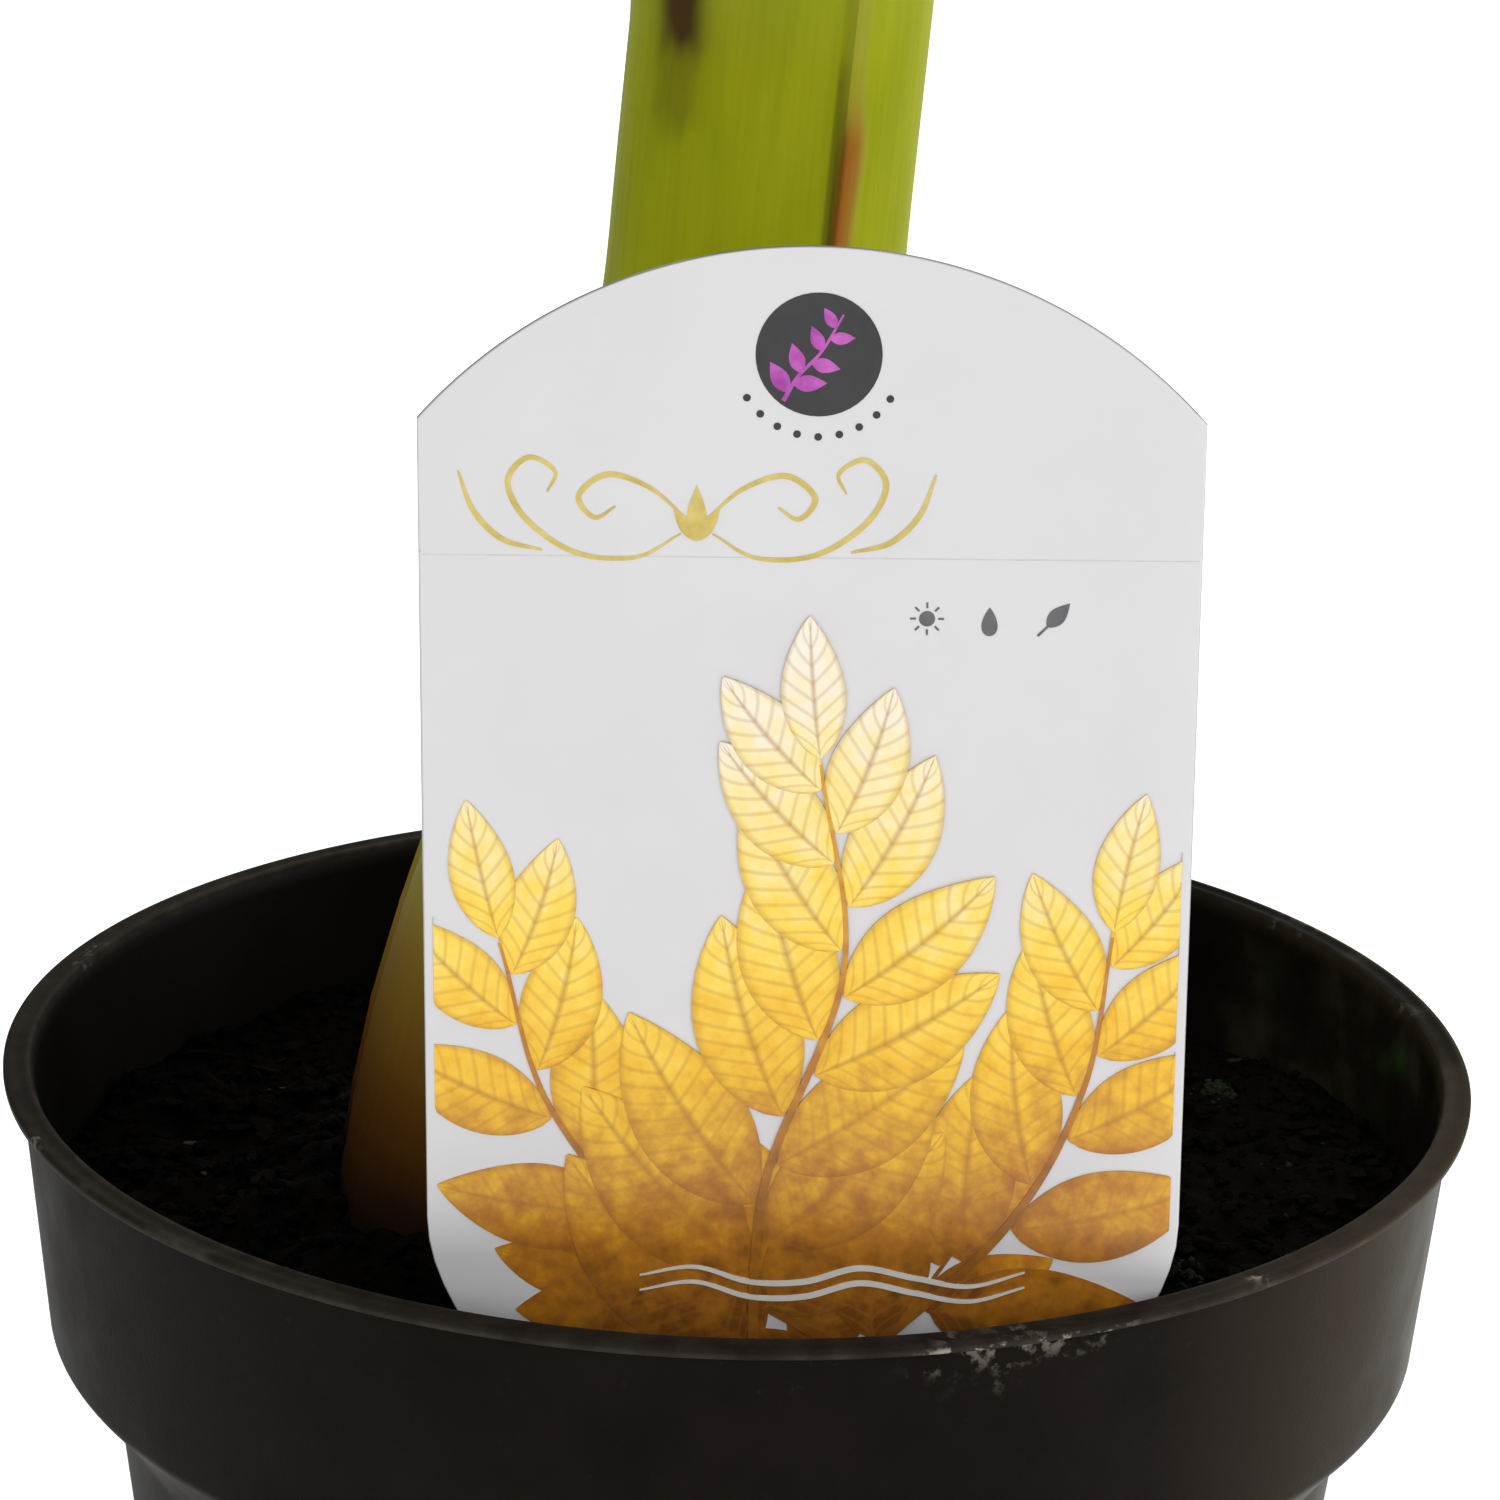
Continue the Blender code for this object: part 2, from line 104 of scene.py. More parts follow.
# Leaves, from the oldest and lowest to the youngest
LEAF_COUNT = 8
FIRST_AZIMUTH = math.radians(62.5)
DIVERGENCE = math.radians(137.5)
FIRST_SHEATH = 205 * MM
SHEATH_STEP = 12.5 * MM
PETIOLE_LENGTH = (62 * MM, 46 * MM)
BLADE_LENGTH = tuple(length * MM for length in (178, 200, 224, 240, 250, 246, 232, 206))
BLADE_HALF_WIDTH = tuple(width * MM for width in (37, 40, 44, 47, 48, 45, 39, 30))
PETIOLE_LEAN = (math.radians(50), math.radians(9))
TIP_LEAN = (math.radians(110), math.radians(26))
SWEEP = tuple(math.radians(angle) for angle in (11, -14, 10, 12, -9, -12, 8, 6))
TWIST = tuple(math.radians(angle) for angle in (-13, 16, -12, 9, -10, 12, -8, 5))
SHEATH_HALF_ANGLE = math.radians(46)
SHEATH_LENGTH = 26 * MM
SHEATH_GAP = 0.5 * MM
CHANNEL_HALF_WIDTH = (7.6 * MM, 5.6 * MM)
CHANNEL_ANGLE = math.radians(88)
GUTTER_HALF_WIDTH = 4 * MM
FOLD_ANGLE = (math.radians(40), math.radians(12))
UNFOLDING = 0.22
MARGIN_SHARE = 0.15
WIDEST_PLACE = 0.42
SPREAD_POWERS = (2.1, 2.3)
PETIOLE_WING_POWER = 4
ARCHING_POWER = 1.25
TIP_HALF_WIDTH = 1.2 * MM
LEAF_THICKNESS = 2.6 * MM
STALK_EDGE = 0.45 * MM  # half the thickness of a petiole's edge
BLADE_THICKNESS = (0.45 * MM, 0.24 * MM)  # at the rib and at the margin
PLEAT_WIDTH = 5.6 * MM
PLEAT_DEPTH = 0.16 * MM
WAVE_DEPTH = 2.0 * MM
VEIN_SLANT = 0.42  # how far the side veins run towards the tip, as a share of the half width
TEAR_GAP = 1.5 * MM
TEAR_LIFT = 1.6 * MM
RIB_DEPTH = 1.8 * MM
CENTRE_LINE_STEPS = 240
SECTION_STEPS = 24

# Youngest leaf
FURLED_LENGTH = 196 * MM
FURLED_RADIUS = 4.6 * MM
FURLED_TIP_RADIUS = 0.9 * MM
FURLED_BELLY = 1.2 * MM
FURLED_BELLY_TOP = 0.8
FURLED_TAPER_POWER = 1.6
FURLED_TURNS = 1.9
FURLED_TWIST = 2.4  # radians that the roll turns from its foot to its tip
FURLED_CORE = 0.62  # radius of the innermost turn, as a share of the outermost
FURLED_THICKNESS = 0.32 * MM
FURLED_BEND = np.array((-9 * MM, 4.5 * MM, 0))

# Plant label: u runs across it, v up from the pot's rim
LABEL_X = 5.6 * MM
LABEL_Y = -50 * MM
LABEL_TILT = math.radians(-1.04)
LABEL_THICKNESS = 0.6 * MM
LABEL_HALF_WIDTH = 30 * MM
LABEL_SHOULDER = 70.3 * MM
LABEL_ARCH_RADIUS = 40 * MM
LABEL_TAPER_TOP = 4.5 * MM
LABEL_TAPER_FOOT = -35.5 * MM
LABEL_SPIKE_HALF_WIDTH = 8 * MM
LABEL_SPIKE_TIP = -56 * MM
PRINT_HALF_WIDTH = (29.2, 25.5)  # in mm, over the label's foot and at it
INK_LIFT = 0.04 * MM  # how far the print stands in front of the label's face
INK_STEP = 0.004 * MM  # and how far each stroke over another one stands in front of it

# Camera: it looks at the middle of the photograph's view
VIEW_TARGET = Vector((0.3 * MM, 0, POT_HEIGHT + 27.6 * MM))
VIEW_DISTANCE = 450 * MM
VIEW_ELEVATION = math.radians(18.04)
VIEW_ROLL = math.radians(1.55)
VIEW_LENS = 123.19
VIEW_SENSOR = 36

FRONT = math.radians(-90)  # azimuth of the side that faces the camera


# ---------------------------------------------------------------- numbers

def mix(start, end, share):
    return start + (end - start) * share


def ease(share):
    """Goes from 0 to 1 with level ends."""
    share = np.clip(share, 0, 1)
    return share * share * (3 - 2 * share)


def band(value, low, high, soft):
    """1 between two bounds and 0 outside them, with soft edges."""
    return ease((value - low) / soft) * ease((high - value) / soft)


def turned_by(angle, centre):
    """An angle's distance from another one, from -pi to pi."""
    return (angle - centre + math.pi) % math.tau - math.pi


def points_at(x, y, z):
    """Points from coordinates, each a number or an array."""
    return np.stack(np.broadcast_arrays(x, y, z), axis=-1)


def level_direction(azimuth):
    return points_at(np.cos(azimuth), np.sin(azimuth), 0)


class Noise:
    """Smooth random values from -1 to 1 through space."""

    LATTICE = 32

    def __init__(self, seed):
        self.values = np.random.default_rng(seed).uniform(-1, 1, (self.LATTICE,) * 3)

    def __call__(self, points, size):
        place = np.asarray(points) / size
        low = np.floor(place).astype(int)
        share = ease(place - low)
        total = 0
        for corner in itertools.product((0, 1), repeat=3):
            weight = np.prod(np.where(corner, share, 1 - share), axis=-1)
            index = (low + corner) % self.LATTICE
            total = total + weight * self.values[index[..., 0], index[..., 1], index[..., 2]]
        return total


# ---------------------------------------------------------------- meshes

def new_object(name, data):
    item = bpy.data.objects.new(name, data)
    bpy.context.scene.collection.objects.link(item)
    return item


def grid_faces(rows, columns, wrap=False):
    """Quads of a grid of points numbered row by row; wrap joins the last column to the first."""
    faces = []
    for start in range(0, (rows - 1) * columns, columns):
        for column in range(columns if wrap else columns - 1):
            low = start + column
            high = start + (column + 1) % columns
            faces.append((low, high, high + columns, low + columns))
    return faces


def add_layers(mesh, **values):
    """Keeps a number on each point for every named value."""
    for key, numbers in values.items():
        layer = mesh.attributes.new(key, "FLOAT", "POINT")
        layer.data.foreach_set("value", np.ravel(numbers).astype(np.float32))


def new_mesh(name, points, faces, **values):
    mesh = bpy.data.meshes.new(name)
    mesh.from_pydata(np.reshape(points, (-1, 3)).tolist(), [], faces)
    add_layers(mesh, **values)
    mesh.update()
    return mesh


def shell_mesh(name, over, under, faces, **values):
    """A closed sheet between two layers of points that share the same faces."""
    over = np.reshape(over, (-1, 3))
    under = np.reshape(under, (-1, 3))
    count = len(over)
    edges = {pair for face in faces for pair in zip(face, face[1:] + face[:1])}
    rim = sorted((a, b) for a, b in edges if (b, a) not in edges)
    backs = [tuple(index + count for index in reversed(face)) for face in faces]
    sides = [(b, a, a + count, b + count) for a, b in rim]
    layers = {key: np.tile(np.ravel(numbers), 2) for key, numbers in values.items()}
    layers["under"] = np.repeat((0, 1), count)
    return new_mesh(name, np.concatenate((over, under)), faces + backs + sides, **layers)


def tube_mesh(name, rings, **values):
    """A closed tube through rings of points, capped at both ends."""
    rows, columns = np.shape(rings)[:2]
    faces = grid_faces(rows, columns, wrap=True)
    faces.append(tuple(reversed(range(columns))))
    faces.append(tuple(range((rows - 1) * columns, rows * columns)))
    return new_mesh(name, rings, faces, **values)


def turned_mesh(name, profile, segments, move=None):
    """A solid turned about +Z from (radius, height) points; its first and last are on the axis."""
    around = level_direction(math.tau * np.arange(segments) / segments)
    profile = np.array(profile)
    inner = profile[1:-1]
    rings = around[None] * inner[:, :1, None] + np.array((0, 0, 1)) * inner[:, 1:, None]
    if move:
        rings = move(rings)
    points = [(0, 0, profile[0][1]), (0, 0, profile[-1][1])] + np.reshape(rings, (-1, 3)).tolist()
    faces = [tuple(index + 2 for index in face) for face in grid_faces(len(inner), segments, True)]
    last = 2 + (len(inner) - 1) * segments
    for index in range(segments):
        after = (index + 1) % segments
        faces.append((0, 2 + after, 2 + index))
        faces.append((1, last + index, last + after))
    return new_mesh(name, points, faces)


def add_piece(name, mesh, paint, nodes=(), sharp=40):
    """Puts a piece on the model: it rides with the plant and may stand for nodes."""
    item = new_object(name, mesh)
    mesh.materials.append(paint)
    mesh.shade_smooth()
    mesh.set_sharp_from_angle(angle=math.radians(sharp))
    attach(item, "root")
    if nodes:
        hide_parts(*nodes)
    return item


# ---------------------------------------------------------------- materials

class Paint:
    """A node material. Its methods add nodes and return their outputs.

    An input is a number, a colour, another node's output or the name of a value on the points.
    """

    def __init__(self, name, roughness, specular=0.5):
        self.material = bpy.data.materials.new(name)
        self.material.use_nodes = True
        self.tree = self.material.node_tree
        self.shader = self.tree.nodes["Principled BSDF"]
        self.colour = None
        self.connect(self.shader, "Roughness", roughness)
        self.connect(self.shader, "Specular IOR Level", specular)

    def connect(self, item, key, value):
        if isinstance(value, str):
            value = self.node("Attribute", {}, output=2, attribute_name=value)
        if isinstance(value, bpy.types.NodeSocket):
            self.tree.links.new(value, item.inputs[key])
        else:
            item.inputs[key].default_value = value

    def node(self, kind, inputs, output=0, **settings):
        item = self.tree.nodes.new("ShaderNode" + kind)
        for key, value in settings.items():
            setattr(item, key, value)
        for key, value in inputs.items():
            self.connect(item, key, value)
        return item.outputs[output]

    def place(self):
        return self.node("TexCoord", {}, output=3)

    def rightward(self):
        """How far to the right of the pot's middle a point lies."""
        return self.node("SeparateXYZ", {0: self.place()})

    def space(self, x, y, z=0.0):
        return self.node("CombineXYZ", {0: x, 1: y, 2: z})

    def noise(self, size, place=None, detail=3, roughness=0.55):
        place = place or self.place()
        inputs = {"Vector": place, "Scale": 1 / size, "Detail": detail, "Roughness": roughness}
        return self.node("TexNoise", inputs)

    def math(self, operation, first, second=0.0):
        return self.node("Math", {0: first, 1: second}, operation=operation)

    def times(self, first, second):
        return self.math("MULTIPLY", first, second)

    def plus(self, first, second):
        return self.math("ADD", first, second)

    def wave(self, value, length):
        """Goes between -1 and 1, once up and down over a length."""
        return self.math("SINE", self.times(value, math.tau / length))

    def span(self, value, low, high, start=0.0, end=1.0):
        """Maps low..high to start..end, and stays there outside."""
        return self.node("MapRange", {0: value, 1: low, 2: high, 3: start, 4: end})

    def blend(self, share, first, second):
        first, second = (
            colour if isinstance(colour, bpy.types.NodeSocket) else (*colour, 1)
            for colour in (first, second)
        )
        return self.node("Mix", {0: share, 6: first, 7: second}, output=2, data_type="RGBA")

    def ramp(self, share, *stops):
        output = self.node("ValToRGB", {0: share})
        elements = output.node.color_ramp.elements
        while len(elements) < len(stops):
            elements.new(1)
        for element, (position, colour) in zip(elements, stops):
            element.position = position
            element.color = (*colour, 1)
        return output

    def coat(self, share, colour, strength=1):
        """Covers the colour so far with another one, as far as a share from 0 to 1 says."""
        if strength < 1:
            share = self.times(share, strength)
        self.colour = self.blend(share, self.colour, colour)

    def shade(self, factor):
        """Makes the colour so far lighter or darker."""
        factors = self.space(factor, factor, factor)
        self.colour = self.node("VectorMath", {0: self.colour, 1: factors}, operation="MULTIPLY")

    def finish(self, height=None, depth=0.0, roughness=None):
        """Applies the colour, a bump that is as deep as given, and the roughness."""
        self.connect(self.shader, "Base Color", self.colour)
        if height:
            bump = self.node("Bump", {"Height": height, "Distance": depth, "Strength": 1.0})
            self.connect(self.shader, "Normal", bump)
        if roughness:
            self.connect(self.shader, "Roughness", roughness)
        return self.material


def pot_paint():
    """Matt charcoal plastic, with limescale, dried drips, pale worn edges with painted highlights, painted
    warm light on its right and painted shade inside.
    """
    paint = Paint("pot_plastic", 0.4, 0.025)
    mottle = paint.noise(9 * MM)
    right = paint.rightward()
    dust = paint.span(paint.noise(1.3 * MM, detail=4, roughness=0.7), 0.66, 0.78)
    lime_spots = paint.span(paint.noise(1.7 * MM, detail=4, roughness=0.65), 0.52, 0.62)
    worn = paint.span(paint.noise(3 * MM), 0.35, 0.65, 0.35, 1.0)
    grime = paint.ramp(
        paint.noise(8 * MM, detail=4),
        (0.38, (0.003, 0.0022, 0.0022)), (0.55, (0.0085, 0.0075, 0.0055)), (0.72, (0.03, 0.028, 0.018)),
    )
    plastic = ((0.3, (0.0052, 0.0036, 0.0028)), (0.75, (0.0078, 0.0056, 0.0044)))
    paint.colour = paint.ramp(mottle, *plastic)
    paint.coat(dust, (0.07, 0.06, 0.045), 0.12)
    # painted light: a warm tint makes the pot's right side lighter, where light from the right falls on it
    paint.coat(paint.span(right, 34 * MM, 56 * MM, 0.0, 0.3), (0.06, 0.044, 0.02))
    # worn_and_highlit: real rubbing and scratches mixed with painted highlights on the lip's edges
    paint.coat(paint.times("worn_and_highlit", worn), (0.055, 0.048, 0.037), 0.55)
    paint.coat(paint.times("lime", lime_spots), (0.36, 0.33, 0.27), 0.7)
    # painted shade: the inner wall is darkened to near black, with real mottled grime between the
    # WALL_MOTTLING azimuths
    paint.coat("soiled_and_shaded", paint.blend("mottled", (0.0014, 0.0011, 0.0009), grime))
    paint.coat("algae", (0.02, 0.045, 0.014))
    rougher_left = paint.span(right, -56 * MM, -36 * MM, 0.14, 0.0)
    roughness = paint.plus(paint.span(mottle, 0.3, 0.7, 0.34, 0.46), rougher_left)
    grain = paint.noise(0.5 * MM, detail=2)
    return paint.finish(grain, 0.02 * MM, paint.math("MAXIMUM", roughness, "matt"))


def soil_paint(name, dark, light):
    """Moist potting soil, mottled between two shades, and lighter towards the right."""
    paint = Paint(name, 0.9, 0.01)
    fine = paint.noise(0.8 * MM, detail=5, roughness=0.7)
    coarse = paint.noise(6 * MM)
    mottle = paint.plus(paint.times(fine, 0.6), paint.times(coarse, 0.4))
    paint.colour = paint.ramp(mottle, (0.38, dark), (0.66, light))
    ragged = paint.span(coarse, 0.3, 0.7, -12 * MM, 12 * MM)
    # lighter towards the right, with a ragged border
    lighter_on_right = paint.span(paint.plus(paint.rightward(), ragged), 8 * MM, 50 * MM)
    paint.coat(lighter_on_right, (0.0065, 0.006, 0.0042), 0.45)
    return paint.finish(fine, 0.25 * MM)


def sheath_colour(paint):
    """Yellow-green that turns to a fresher green higher up. The stem and the sheaths share it."""
    patch = paint.noise(9 * MM, paint.space("around", paint.times("height", 0.3)), detail=2)
    lower = paint.ramp(patch, (0.3, (0.19, 0.215, 0.003)), (0.7, (0.25, 0.265, 0.006)))
    upper = paint.ramp(patch, (0.3, (0.2, 0.3, 0.04)), (0.7, (0.27, 0.36, 0.065)))
    higher = paint.span("height", 196 * MM, 250 * MM)
    behind = paint.span(paint.math("ABSOLUTE", "around"), 22 * MM, 38 * MM, 0.0, 0.55)
    return paint.blend(paint.math("MAXIMUM", higher, behind), lower, upper)


def stem_paint():
    """Green sheaths with fine fibres: a dried margin with a painted shadow beside it, a dark blotch, and a
    brown foot that darkens towards the soil line.
    """
    paint = Paint("pseudostem", 0.6, 0.02)
    fibre = paint.noise(0.55 * MM, paint.space("around", paint.times("height", 0.035)), detail=4)
    # the foot's browns end near black, darkest at and under the soil line
    browned = paint.ramp(
        "foot",
        (0.0, (0.2, 0.185, 0.02)), (0.12, (0.2, 0.18, 0.018)), (0.35, (0.15, 0.088, 0.008)),
        (0.7, (0.075, 0.028, 0.003)), (1.0, (0.01, 0.005, 0.003)),
    )
    margin = paint.ramp(
        "margin",
        (0.0, (0.06, 0.032, 0.004)), (0.25, (0.22, 0.07, 0.009)),
        (0.6, (0.24, 0.11, 0.015)), (1.0, (0.28, 0.23, 0.05)),
    )
    near_mouth = paint.span(paint.span("height", 100 * MM, 200 * MM), 0.9, 0.97)
    ragged = paint.plus("browning", paint.span(fibre, 0.3, 0.7, -0.12, 0.12))
    paint.colour = sheath_colour(paint)
    paint.shade(paint.span("outer_sheath", 0, 1, 1, 1.03))
    paint.coat(paint.span(ragged, 0.1, 0.9), browned)
    # darker towards the soil line
    paint.coat("damp", (0.007, 0.004, 0.002))
    paint.coat("blotch", (0.045, 0.026, 0.006))
    paint.coat(
        paint.times("streak", paint.span(fibre, 0.3, 0.55, 0.75, 1.0)),
        paint.blend(near_mouth, margin, (0.24, 0.21, 0.045)),
    )
    # painted shadow along the outer sheath's margin, where it overlaps the front sheath
    paint.coat("crevice", (0.045, 0.036, 0.003))
    paint.shade(paint.span(fibre, 0.3, 0.7, 0.95, 1.05))
    return paint.finish(fibre, 0.06 * MM, paint.span("foot", 0, 0.6, 0.5, 0.8))


def leaf_paint(name, upper_low, upper_high, under_colour):
    """Two-sided leaf: pleated side veins, and margins that dry with age."""
    paint = Paint(name, 0.45, 0.28)
    wobble = paint.span(paint.noise(26 * MM, detail=2), 0.3, 0.7, -2 * MM, 2 * MM)
    fine = paint.wave("vein", 1.15 * MM)
    coarse = paint.times(paint.wave(paint.plus("vein", wobble), PLEAT_WIDTH), 0.4)
    lines = paint.times(paint.plus(paint.times(fine, 0.3), coarse), "veined")
    tone = paint.plus(paint.span(paint.noise(22 * MM), 0.3, 0.7), paint.times(lines, 0.22))
    upper = paint.ramp(tone, (0.0, upper_low), (1.0, upper_high))
    under_lit = [1.25 * part for part in under_colour]
    paint.colour = paint.blend(
        "under", upper, paint.blend(paint.span(lines, -0.8, 0.8), under_colour, under_lit),
    )
    reach = paint.plus("age", paint.span(paint.noise(4 * MM, detail=4), 0.3, 0.7, -0.04, 0.05))
    paint.coat(paint.span(paint.plus("across", reach), 0.985, 1.02), (0.16, 0.075, 0.025), 0.9)
    raised = paint.times(paint.plus(paint.times(fine, 0.1), coarse), "veined")
    return paint.finish(raised, 0.12 * MM, paint.span("under", 0, 1, 0.42, 0.6))


def stalk_paint():
    """Petioles and midribs: pale green, paler along the rib, with a purplish edge."""
    paint = Paint("petiole", 0.55, 0.03)
    fibre = paint.noise(0.6 * MM, paint.space("across", paint.times("along", 0.03)), detail=3)
    patch = paint.noise(14 * MM)
    rib = paint.ramp(patch, (0.3, (0.3, 0.38, 0.12)), (0.7, (0.38, 0.44, 0.17)))
    paint.colour = paint.ramp(patch, (0.3, (0.19, 0.27, 0.035)), (0.7, (0.26, 0.34, 0.06)))
    paint.coat("rib", rib)
    paint.coat("on_stem", sheath_colour(paint))
    paint.coat("edge", (0.12, 0.045, 0.02), 0.7)
    paint.shade(paint.span(fibre, 0.3, 0.7, 0.88, 1.1))
    return paint.finish(fibre, 0.1 * MM)


def label_paint():
    """Glossy white plastic with faint mottling, painted shade on its rounded edge and a few specks of dirt.
    """
    paint = Paint("label_plastic", 0.3, 0.45)
    white = ((0.3, (0.55, 0.54, 0.55)), (0.7, (0.57, 0.56, 0.57)))
    paint.colour = paint.ramp(paint.noise(14 * MM), *white)
    # painted shade: the rim value greys the label's rounded edge
    paint.coat("rim", (0.15, 0.15, 0.16))
    paint.coat(paint.span(paint.noise(0.8 * MM, detail=2), 0.8, 0.84), (0.1, 0.09, 0.08), 0.6)
    return paint.finish(paint.noise(3 * MM), 0.01 * MM)


def ink_paint(name, low, high):
    """Printed ink of one colour, slightly uneven."""
    paint = Paint(name, 0.32, 0.45)
    paint.colour = paint.ramp(paint.noise(1.5 * MM), (0.3, low), (0.7, high))
    return paint.finish()


def golden_paint():
    """Printed leaves: brown at the foot, golden in the middle and cream at the tip."""
    paint = Paint("label_gold_leaves", 0.32, 0.45)
    uneven = paint.span(paint.noise(1.6 * MM, detail=4), 0.3, 0.7, -0.09, 0.09)
    paint.colour = paint.ramp(
        paint.plus("tone", uneven),
        (0.0, (0.17, 0.055, 0.008)), (0.2, (0.42, 0.16, 0.01)), (0.42, (0.74, 0.42, 0.015)),
        (0.62, (0.80, 0.56, 0.07)), (0.82, (0.78, 0.64, 0.3)), (1.0, (0.74, 0.68, 0.55)),
    )
    slanted = paint.math("SUBTRACT", "along", paint.times("across", 2.2 * MM))
    veins = paint.span(paint.wave(slanted, 1.5 * MM), 0.45, 1.0)
    paint.coat(veins, (0.34, 0.14, 0.015), 0.28)
    paint.coat(paint.span("across", 0.0, 0.12, 1.0, 0.0), (0.3, 0.11, 0.012), 0.55)
    paint.coat(paint.span("across", 0.8, 1.0), (0.26, 0.1, 0.012), 0.4)
    return paint.finish()


# ---------------------------------------------------------------- pot

def arc(start, corner, end, steps):
    """Points on a curve from start to end that is drawn towards a corner."""
    shares = (index / steps for index in range(steps + 1))
    return [
        tuple((1 - t) ** 2 * a + 2 * t * (1 - t) * b + t ** 2 * c for a, b, c in zip(start, corner, end))
        for t in shares
    ]


def run(start, end, steps):
    """Even points between two points, without the two."""
    return [tuple(mix(a, b, i / steps) for a, b in zip(start, end)) for i in range(1, steps)]


def inner_wall(inset):
    return [
        (COLLAR_TOP_RADIUS - inset, POT_HEIGHT - LIP_HEIGHT),
        (COLLAR_FOOT_RADIUS - inset, COLLAR_FOOT),
        (BODY_TOP_RADIUS - inset, BODY_TOP),
        (BASE_RADIUS - inset, POT_FLOOR + inset - POT_WALL + BASE_CORNER),
        (BASE_RADIUS - inset - BASE_CORNER, POT_FLOOR + inset - POT_WALL),
    ]


def inner_radius(height):
    """The inner wall's radius at many heights."""
    radii, heights = zip(*reversed(inner_wall(POT_WALL)[:4]))
    return np.interp(height, heights, radii)


def pot_profile():
    """Up the outside from the underside's middle, over the rounded lip and down the inside."""
    round_off = 0.7 * MM
    edge = 0.3 * MM
    dip = 0.24 * MM
    top = POT_HEIGHT
    lip_foot = top - LIP_HEIGHT
    lip_inside = LIP_RADIUS - LIP_WIDTH
    base_ring = (BASE_RADIUS - BASE_CORNER, 0)
    base_top = (BASE_RADIUS, BASE_CORNER)
    body = (BODY_TOP_RADIUS, BODY_TOP)
    hollow = (BODY_TOP_RADIUS + 0.2 * MM, BODY_TOP + 1.2 * MM)
    fillet_top = (BODY_TOP_RADIUS + BODY_FILLET[0], BODY_TOP + BODY_FILLET[1])
    corner = (COLLAR_FOOT_RADIUS, COLLAR_FOOT)
    bend = tuple(mix(low, high, share) for low, high, share in zip(body, corner, SHOULDER_BEND))
    below = (COLLAR_FOOT_RADIUS - round_off, COLLAR_FOOT - round_off)
    above = (COLLAR_FOOT_RADIUS + 0.08 * MM, COLLAR_FOOT + round_off)
    collar_top = (COLLAR_TOP_RADIUS, lip_foot - 0.3 * MM)
    profile = [(0, 0)] + run((0, 0), base_ring, 8) + arc(base_ring, (BASE_RADIUS, 0), base_top, 5)
    profile += run(base_top, body, 14) + arc(body, hollow, fillet_top, 4)
    profile += run(fillet_top, bend, 3) + [bend] + run(bend, below, 3) + arc(below, corner, above, 5)
    profile += run(above, collar_top, 9)
    for start, middle, end, steps in (
        (collar_top, (COLLAR_TOP_RADIUS + 0.1 * MM, lip_foot), (LIP_RADIUS - 0.4 * MM, lip_foot), 3),
        ((LIP_RADIUS - edge, lip_foot), (LIP_RADIUS, lip_foot), (LIP_RADIUS, lip_foot + edge), 3),
        ((LIP_RADIUS, top - edge), (LIP_RADIUS, top), (LIP_RADIUS - edge, top), 4),
        (
            (LIP_RADIUS - 2 * edge, top), (LIP_RADIUS - LIP_WIDTH / 2, top - dip),
            (lip_inside + 2 * edge, top), 6,
        ),
        ((lip_inside + edge, top), (lip_inside, top), (lip_inside, top - edge), 4),
    ):
        profile += arc(start, middle, end, steps)
    wall = inner_wall(POT_WALL)
    for start, end, steps in zip(wall, wall[1:], (24, 8, 6, 6)):
        profile += [start] + run(start, end, steps)
    return profile + [wall[-1], (0, POT_FLOOR)]


def pot_move(rings):
    """Makes the moulded wall very slightly uneven."""
    waves = 0.12 * MM * Noise(3)(rings, 45 * MM)[..., None]
    outward = rings * np.array((1, 1, 0))
    outward /= np.maximum(np.linalg.norm(outward, axis=-1, keepdims=True), 1e-6)
    return rings + outward * waves


# On the inner wall: (azimuth in degrees, height, width, height of the patch, strength)
WALL_ALGAE = (
    (11.3, 100.5 * MM, 1.6 * MM, 1.2 * MM, 1.3), (14.6, 98.8 * MM, 1.6 * MM, 1.1 * MM, 0.7),
    (35.6, 99.6 * MM, 3 * MM, 2.2 * MM, 0.22),
    (13, 94 * MM, 2.4 * MM, 1.6 * MM, 0.3), (24, 92 * MM, 2.4 * MM, 1.8 * MM, 0.15),
)
WALL_DUST = (
    (19, 102.4 * MM, 1.9 * MM, 1.6 * MM, 0.8), (27, 100.6 * MM, 1.7 * MM, 2.2 * MM, 0.45),
    (8, 97.5 * MM, 1.6 * MM, 2.6 * MM, 0.3), (33, 95 * MM, 3 * MM, 1.4 * MM, 0.3),
    (35.6, 99.6 * MM, 2.6 * MM, 2.2 * MM, 0.3),
)
WALL_MOTTLING = (-25, 56)  # azimuths in degrees, between which the wall's grime is mottled
# On the lip, all with azimuths in degrees
LIP_LIME = (-78, -60)
LIP_DRIPS = ((-74.4, 4.5 * MM), (-70.5, 5 * MM), (-68.2, 2.5 * MM))  # (azimuth, length)
LIP_SCRATCHES = ((-146, 0.6 * MM), (-134, 3.6 * MM))  # (azimuth, half length)
LIP_SPOTS = (  # (azimuth, radius, length)
    (-49, LIP_RADIUS - 0.8 * MM, 0.7 * MM), (13, LIP_RADIUS - 1.9 * MM, 2.4 * MM),
)
# azimuths in degrees where the lip's top takes grime and its outer edge a painted highlight
LIP_DUST_AND_SHEEN = (-4, 80)


